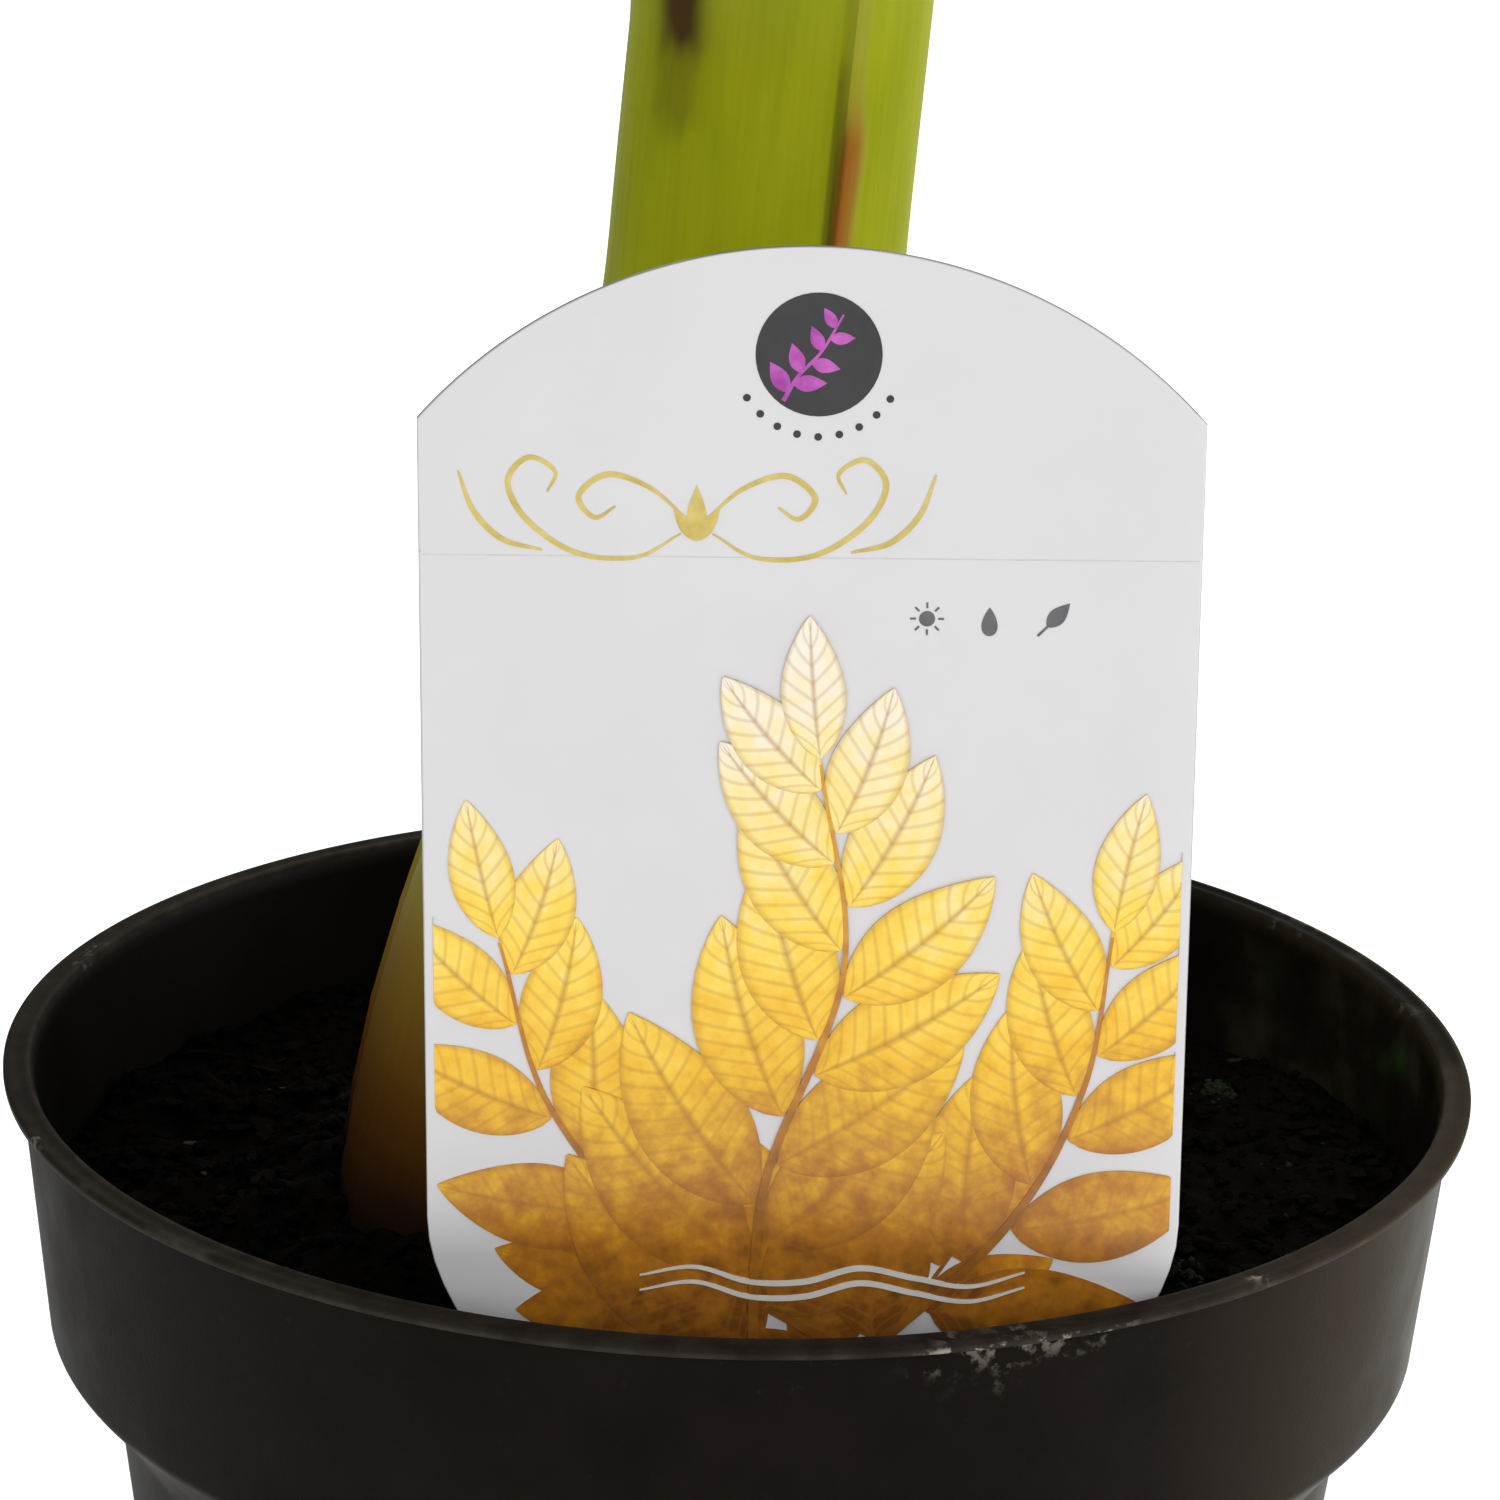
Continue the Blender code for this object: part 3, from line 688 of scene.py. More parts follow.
def cut_drains(mesh):
    """The pot's mesh with the drain notches cut into its foot."""
    outer = BASE_RADIUS + 4 * MM
    size = (outer - DRAIN_INNER_RADIUS, DRAIN_WIDTH, 2 * DRAIN_HEIGHT)
    box = Matrix.Translation(((outer + DRAIN_INNER_RADIUS) / 2, 0, 0)) @ Matrix.Diagonal((*size, 1))
    bm = bmesh.new()
    for index in range(DRAIN_COUNT):
        angle = math.tau * (index + 0.5) / DRAIN_COUNT
        bmesh.ops.create_cube(bm, size=1, matrix=Matrix.Rotation(angle, 4, "Z") @ box)
    cutter_mesh = bpy.data.meshes.new("drains")
    bm.to_mesh(cutter_mesh)
    bm.free()
    pot, cutter = new_object("pot_shell", mesh), new_object("drains", cutter_mesh)
    boolean = pot.modifiers.new("cut", "BOOLEAN")
    boolean.operation = "DIFFERENCE"
    boolean.solver = "EXACT"
    boolean.object = cutter
    result = bpy.data.meshes.new_from_object(pot.evaluated_get(bpy.context.evaluated_depsgraph_get()))
    for item in (pot, cutter):
        bpy.data.objects.remove(item, do_unlink=True)
    return result


def pot_wear(points):
    """Lime, rubbing with painted edge highlights, and grime with painted shade on the pot's points, each
    from 0 to 1.
    """
    radius = np.hypot(points[:, 0], points[:, 1])
    azimuth = np.degrees(np.arctan2(points[:, 1], points[:, 0]))
    height = points[:, 2]
    depth = POT_HEIGHT - height
    lip_inside = LIP_RADIUS - LIP_WIDTH

    def aside(angle):
        """How far round the lip the points lie from an azimuth."""
        return np.radians(azimuth - angle) * LIP_RADIUS

    def on_wall(patches):
        return sum(
            strength * np.exp(-(aside(angle) / wide) ** 2 - ((height - middle) / tall) ** 2)
            for angle, middle, wide, tall, strength in patches
        )

    near_lip = ease((radius - LIP_RADIUS + 3.2 * MM) / MM)
    on_lip = ease((radius - lip_inside + 0.3 * MM) / (0.3 * MM)) * (depth < 0.4 * MM)
    lip_dust_and_sheen = band(azimuth, *LIP_DUST_AND_SHEEN, 8)

    lime = band(azimuth, *LIP_LIME, 3) * ease((1.7 * MM - depth) / (0.9 * MM)) * (depth > 0.3 * MM)
    lime += 0.3 * ease((1.3 * MM - depth) / MM) * (Noise(8)(points, 9 * MM) > 0.45)
    for angle, length in LIP_DRIPS:
        narrow = ease((1.1 * MM - np.abs(aside(angle))) / (0.8 * MM))
        lime += 0.36 * narrow * ease((length - depth) / (2 * MM))
    for angle, middle, length in LIP_SPOTS:
        spot = np.exp(-(aside(angle) / length) ** 2 - ((radius - middle) / (0.6 * MM)) ** 2)
        lime += spot * (depth < MM)

    # painted shade: the inner wall under the lip is darkened, mixed with real soil residue and dust patches
    inside = ease((lip_inside + 0.1 * MM - radius) / (0.5 * MM)) * ease(depth / (2 * MM))
    soiled_and_shaded = np.where(radius < inner_radius(height) + 0.5 * MM, inside, 0) * 0.8
    algae = on_wall(WALL_ALGAE) * np.clip(0.75 + Noise(9)(points, 2 * MM), 0, 1) * (soiled_and_shaded > 0)
    dusty_wall = np.clip(on_wall(WALL_DUST), 0, 1) * (soiled_and_shaded > 0)
    soiled_and_shaded *= 1 - 0.8 * dusty_wall
    soiled_and_shaded += 0.85 * lip_dust_and_sheen * band(radius, lip_inside, LIP_RADIUS - 0.45 * MM, 0.2 * MM) * on_lip

    # painted highlights: the lip's inner and outer edges are made lighter; the scratches and wall dust
    # below are real wear, and the collar's foot is made lighter too
    worn_and_highlit = 0.7 * band(radius, lip_inside - 0.2 * MM, lip_inside + 0.7 * MM, 0.2 * MM) * on_lip
    worn_and_highlit = np.maximum(worn_and_highlit * (1 - 0.8 * lip_dust_and_sheen), 0.4 * on_lip)
    # painted highlight on the lip's outer edge at the right and back
    worn_and_highlit += lip_dust_and_sheen * ease((radius - LIP_RADIUS + 0.5 * MM) / (0.2 * MM)) * (depth < 0.5 * MM)
    lip_edge = band(radius, LIP_RADIUS - 0.25 * MM, LIP_RADIUS + MM, 0.15 * MM)
    worn_and_highlit += lip_edge * (depth > LIP_HEIGHT - 0.55 * MM)
    worn_and_highlit += 0.4 * band(height, COLLAR_FOOT - 0.7 * MM, COLLAR_FOOT + 0.5 * MM, 0.4 * MM)
    worn_and_highlit += dusty_wall
    for angle, half_length in LIP_SCRATCHES:
        scratch = ease((half_length - np.abs(aside(angle))) / (0.4 * MM))
        worn_and_highlit += near_lip * scratch * (radius > LIP_RADIUS - 0.5 * MM)

    layers = {
        "lime": near_lip * lime, "worn_and_highlit": worn_and_highlit, "soiled_and_shaded": soiled_and_shaded, "algae": algae,
        "mottled": band(azimuth, *WALL_MOTTLING, 30), "matt": 0.85 * on_lip,
    }
    return {key: np.clip(numbers, 0, 1) for key, numbers in layers.items()}


def make_pot():
    mesh = cut_drains(turned_mesh("pot_shell", pot_profile(), POT_SEGMENTS, pot_move))
    points = np.empty(len(mesh.vertices) * 3)
    mesh.vertices.foreach_get("co", points)
    add_layers(mesh, **pot_wear(points.reshape(-1, 3)))
    mesh.materials.clear()
    add_piece("pot_shell", mesh, pot_paint(), ["pot"], sharp=35)


# ---------------------------------------------------------------- soil

def soil_height(points):
    """Height of the soil over its level: clods, crumbs and a mound round the pseudostem."""
    x, y = points[..., 0], points[..., 1]
    flat = points_at(x, y, 0)
    relief = -SOIL_SINKING
    for seed, depth, size in SOIL_RELIEF:
        relief = relief + depth * Noise(seed)(flat, size)
    from_stem = np.hypot(x - FOOT_CENTRE[0], y - FOOT_CENTRE[1])
    in_front = ease((FOOT_CENTRE[1] - y) / np.maximum(from_stem, MM) / 0.35 - 0.86)
    mound = mix(*MOUND_HEIGHT, in_front) * ease((45 * MM - from_stem) / (17 * MM))
    bank = 1.8 * MM * ease((np.hypot(x, y) - 44 * MM) / (16 * MM)) * Noise(15)(flat, 24 * MM)
    return relief + mound + bank


def make_soil():
    wall = inner_wall(POT_WALL + SOIL_CLEARANCE)
    top_share = (wall[0][1] - SOIL_TOP + 1.5 * MM) / (wall[0][1] - wall[1][1])
    edge = tuple(mix(a, b, top_share) for a, b in zip(wall[0], wall[1]))
    radii = [(edge[0] * share, SOIL_TOP) for share in np.linspace(0, 1, 96)]
    profile = radii + run(edge, wall[1], 4) + [wall[1]] + run(wall[1], wall[2], 4) + [wall[2]]
    profile += run(wall[2], wall[3], 8) + [wall[3], wall[4], (0, wall[4][1])]
    profile.reverse()

    def move(rings):
        top = (np.abs(rings[..., 2] - SOIL_TOP) < 1e-6)[..., None]
        lift = soil_height(rings)[..., None] * np.array((0, 0, 1))
        return rings + np.where(top, lift, 0)

    mesh = turned_mesh("soil_bed", profile, 300, move)
    paint = soil_paint("potting_soil", (0.0007, 0.0005, 0.0004), (0.0026, 0.0018, 0.0013))
    add_piece("soil_bed", mesh, paint, ["soil"], sharp=180)


GOLDEN = (1 + math.sqrt(5)) / 2
LUMP_CORNERS = np.array([
    np.roll((side, end, 0), turn) for turn in range(3) for end in (GOLDEN, -GOLDEN) for side in (-1, 1)
]) / 1.9
LUMP_FACES = (
    (0, 11, 5), (0, 5, 1), (0, 1, 7), (0, 7, 10), (0, 10, 11), (1, 5, 9), (5, 11, 4), (11, 10, 2),
    (10, 7, 6), (7, 1, 8), (3, 9, 4), (3, 4, 2), (3, 2, 6), (3, 6, 8), (3, 8, 9), (4, 9, 5),
    (2, 4, 11), (6, 2, 10), (8, 6, 7), (9, 8, 1),
)


def lump(rng, size, flatness, length):
    """The corners of a rough lump of 20 faces."""
    points = LUMP_CORNERS * rng.uniform(0.72, 1.15, (len(LUMP_CORNERS), 1))
    points = points * size / 2 * np.array((length, 1, flatness))
    turn = Matrix.Rotation(rng.uniform(0, math.tau), 3, "Z")
    tilt = Matrix.Rotation(rng.uniform(-0.6, 0.6), 3, "X")
    return points @ np.array(turn @ tilt).T


def strew(name, paint, seed, count, sizes, flatness=0.7, length=1.3, spread=None, sharp=30):
    """Lumps on the soil, clear of the pseudostem and the wall, or spread (x, y, radius) round a spot."""
    rng = np.random.default_rng(seed)
    points, faces = [], []
    reach = COLLAR_TOP_RADIUS - POT_WALL - 1.4 * MM
    while len(points) < count:
        spot = spread[:2] + rng.normal(0, spread[2], 2) if spread else reach * rng.uniform(-1, 1, 2)
        size = mix(*sizes, rng.uniform() ** 2.5)
        from_stem = math.hypot(*(spot - FOOT_CENTRE[:2]))
        if math.hypot(*spot) > reach - size / 2 or from_stem < SHAFT_RADIUS + FOOT_SWELLING - 0.5 * MM:
            continue
        height = SOIL_TOP + soil_height(np.array((*spot, 0.0))) + size * flatness * LUMP_RISE
        start = len(LUMP_CORNERS) * len(points)
        points.append(lump(rng, size, flatness, length) + np.array((*spot, height)))
        faces += [tuple(index + start for index in face) for face in LUMP_FACES]
    add_piece(name, new_mesh(name, np.concatenate(points), faces), paint, sharp=sharp)


def make_crumbs():
    crumb = soil_paint("soil_crumb", (0.0007, 0.0005, 0.0005), (0.0034, 0.0024, 0.0018))
    strew("soil_crumbs", crumb, 21, 5200, (0.4 * MM, 2.1 * MM))
    bark = soil_paint("bark_chip", (0.0012, 0.0006, 0.0007), (0.006, 0.003, 0.003))
    strew("bark_chips", bark, 22, 300, (0.9 * MM, 3.0 * MM), flatness=0.35, length=1.9)
    moss = soil_paint("moss", (0.012, 0.016, 0.007), (0.045, 0.054, 0.027))
    for index, (spread, count) in enumerate(MOSS_PATCHES):
        strew(f"moss_{index + 1}", moss, 60 + index, count, (0.3 * MM, 0.9 * MM), spread=spread, sharp=180)
    straw = soil_paint("straw_bit", (0.018, 0.013, 0.007), (0.06, 0.044, 0.024))
    strew("straw_bits", straw, 23, 26, (0.7 * MM, 1.6 * MM), flatness=0.35, length=3.0)


# ---------------------------------------------------------------- pseudostem

def stem_centre(height):
    rise = np.asarray(height) - SOIL_TOP
    return FOOT_CENTRE + STEM_LEAN * rise[..., None]


def stem_radius(height):
    """The swollen foot eases into the shaft, which thins above the first sheath."""
    rise = np.clip((height - SOIL_TOP) / SWELLING_HEIGHT, 0, 1)
    radius = SHAFT_RADIUS + FOOT_SWELLING * (1 + np.cos(math.pi * rise)) / 2
    thinning = np.clip((height - SHEATHS_START) / (FORK_HEIGHT - SHEATHS_START), 0, 1)
    return mix(radius, FORK_RADIUS, thinning)


OUTER_MARGIN = math.radians(-60)  # azimuth of the outermost sheath's margin in front
OUTER_SPAN = math.radians(224)
OUTER_STEP = 0.7 * MM
STREAK_WIDTH = 2.7 * MM
BLOTCH_AZIMUTH = math.radians(-132)
SHEATH_FLARES = (8 * MM, 20 * MM, 20 * MM)  # height of the swelling under each of the lowest petioles
LEAF_SCARS = (  # (height over the soil, tilt)
    (6 * MM, 1.0 * MM), (12 * MM, -1.4 * MM), (19 * MM, 1.2 * MM), (27 * MM, -0.8 * MM),
)
STEM_COLUMNS = 250


def petiole_foot(index, azimuth, z):
    """How much the pseudostem swells under a low petiole's foot, from 0 to 1, and how far out."""
    rise = z - FIRST_SHEATH - index * SHEATH_STEP
    aside = np.abs(turned_by(azimuth, FIRST_AZIMUTH + index * DIVERGENCE)) / SHEATH_HALF_ANGLE
    rounding = np.sqrt(np.clip(1 - aside ** 2, 0, 1))
    wing = mix(STALK_EDGE, LEAF_THICKNESS / 2, 0.35 + 0.65 * rounding) * (0.3 + 0.7 * rounding)
    reach = SHEATH_GAP + LEAF_THICKNESS / 2 + wing + 0.12 * MM
    share = ease(rise / SHEATH_FLARES[index] + 1) * (1 - np.clip(rise / (5 * MM), 0, 1) ** 2)
    return share * ease((1.2 - aside) / 0.2), reach


def blotch_on(z, side, place):
    """The dark blotch at the sheaths' mouth, with a tail below it and a halo beside it."""
    ragged = Noise(35)(place * np.array((1, 1, 0.35)), 1.3 * MM)
    core = np.exp(-np.abs((side - 0.3 * MM * ragged) / (2.7 * MM)) ** 2.8)
    core *= ease((z + 0.8 * MM * ragged - 195.2 * MM) / (3.2 * MM))
    core *= 1 + 0.25 * Noise(36)(place, 1.6 * MM)
    tail = np.exp(-np.abs((side - 0.3 * MM) / (2.6 * MM)) ** 3)
    tail *= ease((z + 0.8 * MM * ragged - 189 * MM) / (3.5 * MM))
    halo = np.exp(-((side - 5 * MM) / (6 * MM)) ** 2) * ease((z - 192 * MM) / (7 * MM))
    blotch = (0.58 * core + 0.42 * tail + 0.15 * halo) * ease((218 * MM - z) / (12 * MM))
    return np.clip(blotch, 0, 1)


def make_pseudostem():
    heights = np.concatenate((
        np.linspace(SOIL_TOP - 4 * MM, SHEATHS_START, 180),
        np.linspace(SHEATHS_START, FORK_HEIGHT, 170)[1:],
    ))
    azimuths = math.radians(90) + math.tau * np.arange(STEM_COLUMNS) / STEM_COLUMNS
    z, azimuth = np.meshgrid(heights, azimuths, indexing="ij")
    rise = z - SOIL_TOP
    radius = stem_radius(z)
    place = level_direction(azimuth) * radius[..., None]
    place[..., 2] = z
    wander = points_at(0, 0, z)
    margin = OUTER_MARGIN + 0.05 * Noise(31)(wander, 30 * MM) + 0.25 * (radius - SHAFT_RADIUS) / radius
    from_margin = turned_by(azimuth, margin) * radius
    inside = (OUTER_SPAN / 2 - np.abs(turned_by(azimuth, margin + OUTER_SPAN / 2))) * radius
    outer = ease(inside / (0.35 * MM) + 0.5)
    below_mouth = ease((SHEATH_MOUTH - z) / (6 * MM))

    ribs = 0.04 * MM * Noise(32)(place * np.array((1, 1, 0.03)), 1.1 * MM)
    swells = 0.25 * MM * Noise(33)(place * np.array((1, 1, 0.5)), 13 * MM)
    slimmer = 0.42 * MM * ease((rise - 20 * MM) / (50 * MM))
    relief = OUTER_STEP * (outer * below_mouth - 0.4) - slimmer + ribs + swells
    foot = ease((46 * MM - rise) / (48 * MM))
    for height, tilt in LEAF_SCARS:
        level = height + tilt * np.sin(azimuth + height / MM)
        relief += 0.12 * MM * foot * np.exp(-((rise - level) / (0.5 * MM)) ** 2)
    for index in range(len(SHEATH_FLARES)):
        share, reach = petiole_foot(index, azimuth, z)
        relief = mix(relief, np.maximum(relief, reach), share)
    points = stem_centre(z) + level_direction(azimuth) * (radius + relief)[..., None]

    fading = ease((z - 189.5 * MM) / (6 * MM)) * mix(0.6, 1, ease((z - 205 * MM) / (16 * MM)))
    width = STREAK_WIDTH * mix(1.0, 0.55, fading) * (1 + 0.08 * Noise(34)(wander, 7 * MM))
    streak = ease((from_margin + 0.2 * MM) / (0.25 * MM)) * ease((1 - from_margin / width) / 0.35)
    # painted shadow: the front sheath is darkened along the outer sheath's margin and softly beside it
    crevice = band(from_margin, -0.7 * MM, 0.15 * MM, 0.35 * MM) * below_mouth
    crevice *= mix(0.55, 0.1, ease((z - 194.5 * MM) / (4 * MM)))
    crevice += 0.08 * band(from_margin, -5 * MM, -0.1 * MM, 4 * MM)
    above_soil = rise - soil_height(points)
    mesh = tube_mesh(
        "pseudostem_sheaths", points,
        around=turned_by(azimuth, FRONT) * SHAFT_RADIUS, height=z, foot=foot, outer_sheath=outer,
        streak=streak * (1 - fading), margin=from_margin / width, crevice=crevice,
        blotch=blotch_on(z, turned_by(azimuth, BLOTCH_AZIMUTH) * radius, place),
        # damp: the stem darkens over the last 9 mm above the soil
        browning=ease((62 * MM - rise) / (32 * MM)), damp=0.8 * ease(1 - above_soil / (9 * MM)) ** 1.5,
    )
    add_piece("pseudostem_sheaths", mesh, stem_paint(), ["pseudostem"], sharp=60)


# ---------------------------------------------------------------- leaves

class Leaf:
    """The shape of one leaf; index 0 is the oldest and lowest."""

    SHEATH_RUN = 22 * MM  # length of the sheath that shows below the petiole
    BURIED_RUN = 1 * MM  # its length on the lowest leaves, where the pseudostem swells over it
    SHEATH_SINKING = 1.6 * MM
    SHEATH_SPREAD = math.radians(80)

    def __init__(self, index):
        age = index / (LEAF_COUNT - 1)
        self.index = index
        self.azimuth = FIRST_AZIMUTH + index * DIVERGENCE
        self.sheath_height = FIRST_SHEATH + index * SHEATH_STEP
        self.petiole = mix(*PETIOLE_LENGTH, age)
        self.blade = BLADE_LENGTH[index]
        self.length = self.petiole + self.blade
        self.half_width = BLADE_HALF_WIDTH[index]
        self.petiole_lean = mix(*PETIOLE_LEAN, age)
        self.tip_lean = mix(*TIP_LEAN, age)
        self.channel = mix(*CHANNEL_HALF_WIDTH, age)
        self.sweep = SWEEP[index]
        self.twist = TWIST[index]
        self.stem_radius = float(stem_radius(self.sheath_height))
        self.sheath_run = self.BURIED_RUN if index < len(SHEATH_FLARES) else self.SHEATH_RUN
        self.places, self.frames = self.centre_line()

    def lean(self, place):
        """Angle off the pseudostem's axis at a length from the leaf's base."""
        if place < self.petiole:
            return self.petiole_lean * float(ease(place / self.petiole))
        share = (place - self.petiole) / self.blade
        return mix(self.petiole_lean, self.tip_lean, share ** ARCHING_POWER)

    def centre_line(self):
        """Frames (point, forward, side, upper side's normal) from the sheath to the tip."""
        axis = Vector(STEM_LEAN).normalized()
        outward = Vector((math.cos(self.azimuth), math.sin(self.azimuth), 0))
        outward = (outward - axis * outward.dot(axis)).normalized()
        gap = SHEATH_GAP + LEAF_THICKNESS / 2
        point = Vector(stem_centre(self.sheath_height)) + outward * (self.stem_radius + gap)
        forward, upper = axis.copy(), -outward
        side = forward.cross(upper)
        step = self.length / CENTRE_LINE_STEPS
        places, frames = [], []

        def keep(place, point):
            places.append(place)
            frames.append((point.copy(), forward.copy(), side.copy(), upper.copy()))

        for place in np.arange(-self.sheath_run, -step / 2, step):
            height = self.sheath_height + place * axis.z
            away = float(stem_radius(height) + self.proud(place))
            keep(place, Vector(stem_centre(height)) + outward * away)
        keep(0, point)
        for count in range(1, CENTRE_LINE_STEPS + 1):
            place = count * step
            blade_share = max((place - self.petiole) / self.blade, 0)
            lean_turn = self.lean(place) - self.lean(place - step)
            free = step / self.blade if blade_share > 0 else 0
            turns = (
                (side, -lean_turn),
                (upper, 2 * self.sweep * blade_share * free),
                (forward, self.twist * free),
            )
            for around, angle in turns:
                turn = Matrix.Rotation(angle, 3, around.copy())
                forward, side, upper = turn @ forward, turn @ side, turn @ upper
            point += forward * step
            keep(place, point)
        return np.array(places), np.array(frames)

    def proud(self, place):
        """How far the sheath's middle surface stands out of the pseudostem, below the petiole."""
        gap = SHEATH_GAP + LEAF_THICKNESS / 2
        return mix(gap, -self.SHEATH_SINKING, np.clip(-place / self.sheath_run, 0, 1) ** 1.4)

    def frame(self, place):
        """The centre line's point, forward, side and upper directions at many places."""
        rows = [
            [np.interp(place, self.places, self.frames[:, part, axis]) for axis in range(3)]
            for part in range(4)
        ]
        return [np.stack(row, axis=-1) for row in rows]

    def spread(self, share):
        """How wide the blade is, as a share of its widest, at a share of its length."""
        share = np.clip(share, 0, 1)
        lower = 1 - np.abs(1 - share / WIDEST_PLACE) ** SPREAD_POWERS[0]
        upper = 1 - (np.clip(share - WIDEST_PLACE, 0, 1) / (1 - WIDEST_PLACE)) ** SPREAD_POWERS[1]
        return np.where(share < WIDEST_PLACE, lower, upper)

    def section(self, place):
        """(half width, channel's half width, channel's angle, margin's angle) at a length."""
        on_stem = 1 - ease(-place / self.SHEATH_RUN)
        height = self.sheath_height + np.minimum(place, 0)
        wrap = mix(self.SHEATH_SPREAD, SHEATH_HALF_ANGLE, on_stem)
        sheath_radius = stem_radius(height) + self.proud(place)
        sheath_width = wrap * mix(sheath_radius, self.stem_radius + LEAF_THICKNESS, on_stem)
        share = ease(place / SHEATH_LENGTH)
        petiole_width = mix(sheath_width, self.channel, share)
        petiole_angle = mix(wrap, CHANNEL_ANGLE, share)
        share = np.clip((place - self.petiole) / self.blade, 0, 1)
        petiole_rest = self.channel * (1 - share) ** PETIOLE_WING_POWER
        blade_width = np.hypot(self.half_width * self.spread(share), petiole_rest)
        blade_width = np.maximum(blade_width, TIP_HALF_WIDTH)
        opening = ease(share / UNFOLDING)
        fold = mix(FOLD_ANGLE[0], FOLD_ANGLE[1], share)
        blade_angle = mix(CHANNEL_ANGLE, fold, opening)
        gutter = np.minimum(mix(self.channel, GUTTER_HALF_WIDTH, opening), blade_width)
        margin_angle = mix(blade_angle, blade_angle * MARGIN_SHARE, opening)
        on_blade = place >= self.petiole
        return (
            np.where(on_blade, blade_width, petiole_width), np.where(on_blade, gutter, petiole_width),
            np.where(on_blade, blade_angle, petiole_angle), np.where(on_blade, margin_angle, petiole_angle),
        )

    def stalk_half_width(self, place):
        """Half the width of the petiole, and of the midrib that it narrows to on the blade."""
        share = np.clip((place - self.petiole) / self.blade, 0, 1)
        rib = mix(2.5 * MM, 0.45 * MM, share)
        return mix(self.section(place)[0], rib, ease(share / 0.16))

    def surface(self, place, distance):
        """Points on the leaf's middle surface and its upward normals, at distances from the rib."""
        half_width, gutter, angle, margin_angle = self.section(place)
        reach = np.abs(distance)

        def slope_at(along):
            outer = np.clip((along - gutter) / np.maximum(half_width - gutter, 1e-6), 0, 1)
            return np.where(along <= gutter, angle * along / gutter, mix(angle, margin_angle, outer))

        x = y = 0
        for count in range(SECTION_STEPS):
            slope = slope_at((count + 0.5) / SECTION_STEPS * reach)
            x = x + np.cos(slope) * reach / SECTION_STEPS
            y = y + np.sin(slope) * reach / SECTION_STEPS
        slope = (np.sign(distance) * slope_at(reach))[..., None]
        x = (np.sign(distance) * x)[..., None]
        point, _, side, upper = self.frame(place)
        middle = point + side * x + upper * y[..., None]
        normal = upper * np.cos(slope) - side * np.sin(slope)
        return middle, normal


# For each leaf: how far its margin has dried, and its tears as (side, place, depth) shares
LEAF_AGE = (0.05, 0.03, 0.014, 0.002, -0.008, -0.018, -0.028, -0.035)
LEAF_TEARS = (
    ((1, 0.36, 0.62), (1, 0.68, 0.4), (-1, 0.55, 0.7)),
    ((-1, 0.42, 0.5), (1, 0.6, 0.66)),
    ((1, 0.5, 0.45), (-1, 0.74, 0.5)),
    ((-1, 0.33, 0.35),),
    ((1, 0.64, 0.4),),
    (), (), (),
)
BLADE_ROWS = 210
BLADE_COLUMNS = 24  # on each side of the rib


def make_blade(leaf, paint):
    """The thin blade: its rows follow the side veins, so a tear parts two rows."""
    rib_share = np.linspace(0, 1, BLADE_ROWS)
    sides = np.linspace(-1, 1, 2 * BLADE_COLUMNS + 1)
    rib, across = np.meshgrid(rib_share * leaf.blade, sides, indexing="ij")
    reach = np.abs(across)
    width_here = leaf.half_width * leaf.spread(rib / leaf.blade)
    lift = VEIN_SLANT * width_here * ease(rib / (22 * MM)) * ease((leaf.blade - rib) / (26 * MM))
    place = rib + lift * (1.6 * reach - 0.6 * reach ** 2) * reach ** 0.35
    raised = np.zeros_like(rib)
    torn = []
    for side, share, depth in LEAF_TEARS[leaf.index]:
        row = int(share * (BLADE_ROWS - 1))
        start = 1 - depth
        beyond = np.clip((side * across - start) / depth, 0, 1)
        steps = np.arange(BLADE_ROWS)[:, None] - (row + 0.5)
        near_tear = np.exp(-(np.abs(steps) - 0.5) / 5)
        place += np.sign(steps) * TEAR_GAP * beyond ** 0.8 * near_tear
        raised += np.where(steps > 0, 1, -0.6) * TEAR_LIFT * beyond * near_tear
        torn.append((row, side, start))
    place = leaf.petiole + np.clip(place, 0, leaf.blade)
    half_width = leaf.section(place)[0]
    middle, normal = leaf.surface(place, across * half_width)
    share = (place - leaf.petiole) / leaf.blade
    along = points_at(place + 0.3 * leaf.index, 0.1 * np.sign(across), 0)
    waves = WAVE_DEPTH * Noise(41 + leaf.index)(along, 26 * MM) * reach ** 2 * ease(share / 0.15)
    pleats = PLEAT_DEPTH * np.sin(rib * math.tau / PLEAT_WIDTH) * (1 - 0.5 * reach) * ease(share / 0.1)
    pleats *= ease(reach * half_width / (4 * MM) - 0.6)
    rough = 0.25 * MM * Noise(51 + leaf.index)(middle, 12 * MM) * reach
    clear = ease((reach * half_width - leaf.stalk_half_width(place)) / (3 * MM)) * ease((1 - share) / 0.07)
    middle = middle + normal * (clear * (waves + pleats + rough) + raised)[..., None]
    half = normal * mix(*BLADE_THICKNESS, reach)[..., None] / 2
    faces = grid_faces(BLADE_ROWS, len(sides))
    for row, side, start in torn:
        gone = {
            row * len(sides) + column for column in range(len(sides) - 1)
            if side * (sides[column] + sides[column + 1]) / 2 > start
        }
        faces = [face for face in faces if face[0] not in gone]
    name = f"blade_{leaf.index + 1}"
    mesh = shell_mesh(
        name, middle + half, middle - half, faces,
        vein=rib, across=reach, age=np.full_like(rib, LEAF_AGE[leaf.index]),
        veined=ease((1 - share) / 0.25),
    )
    add_piece(name, mesh, paint, [f"leaf_{leaf.index + 1}"], sharp=50)


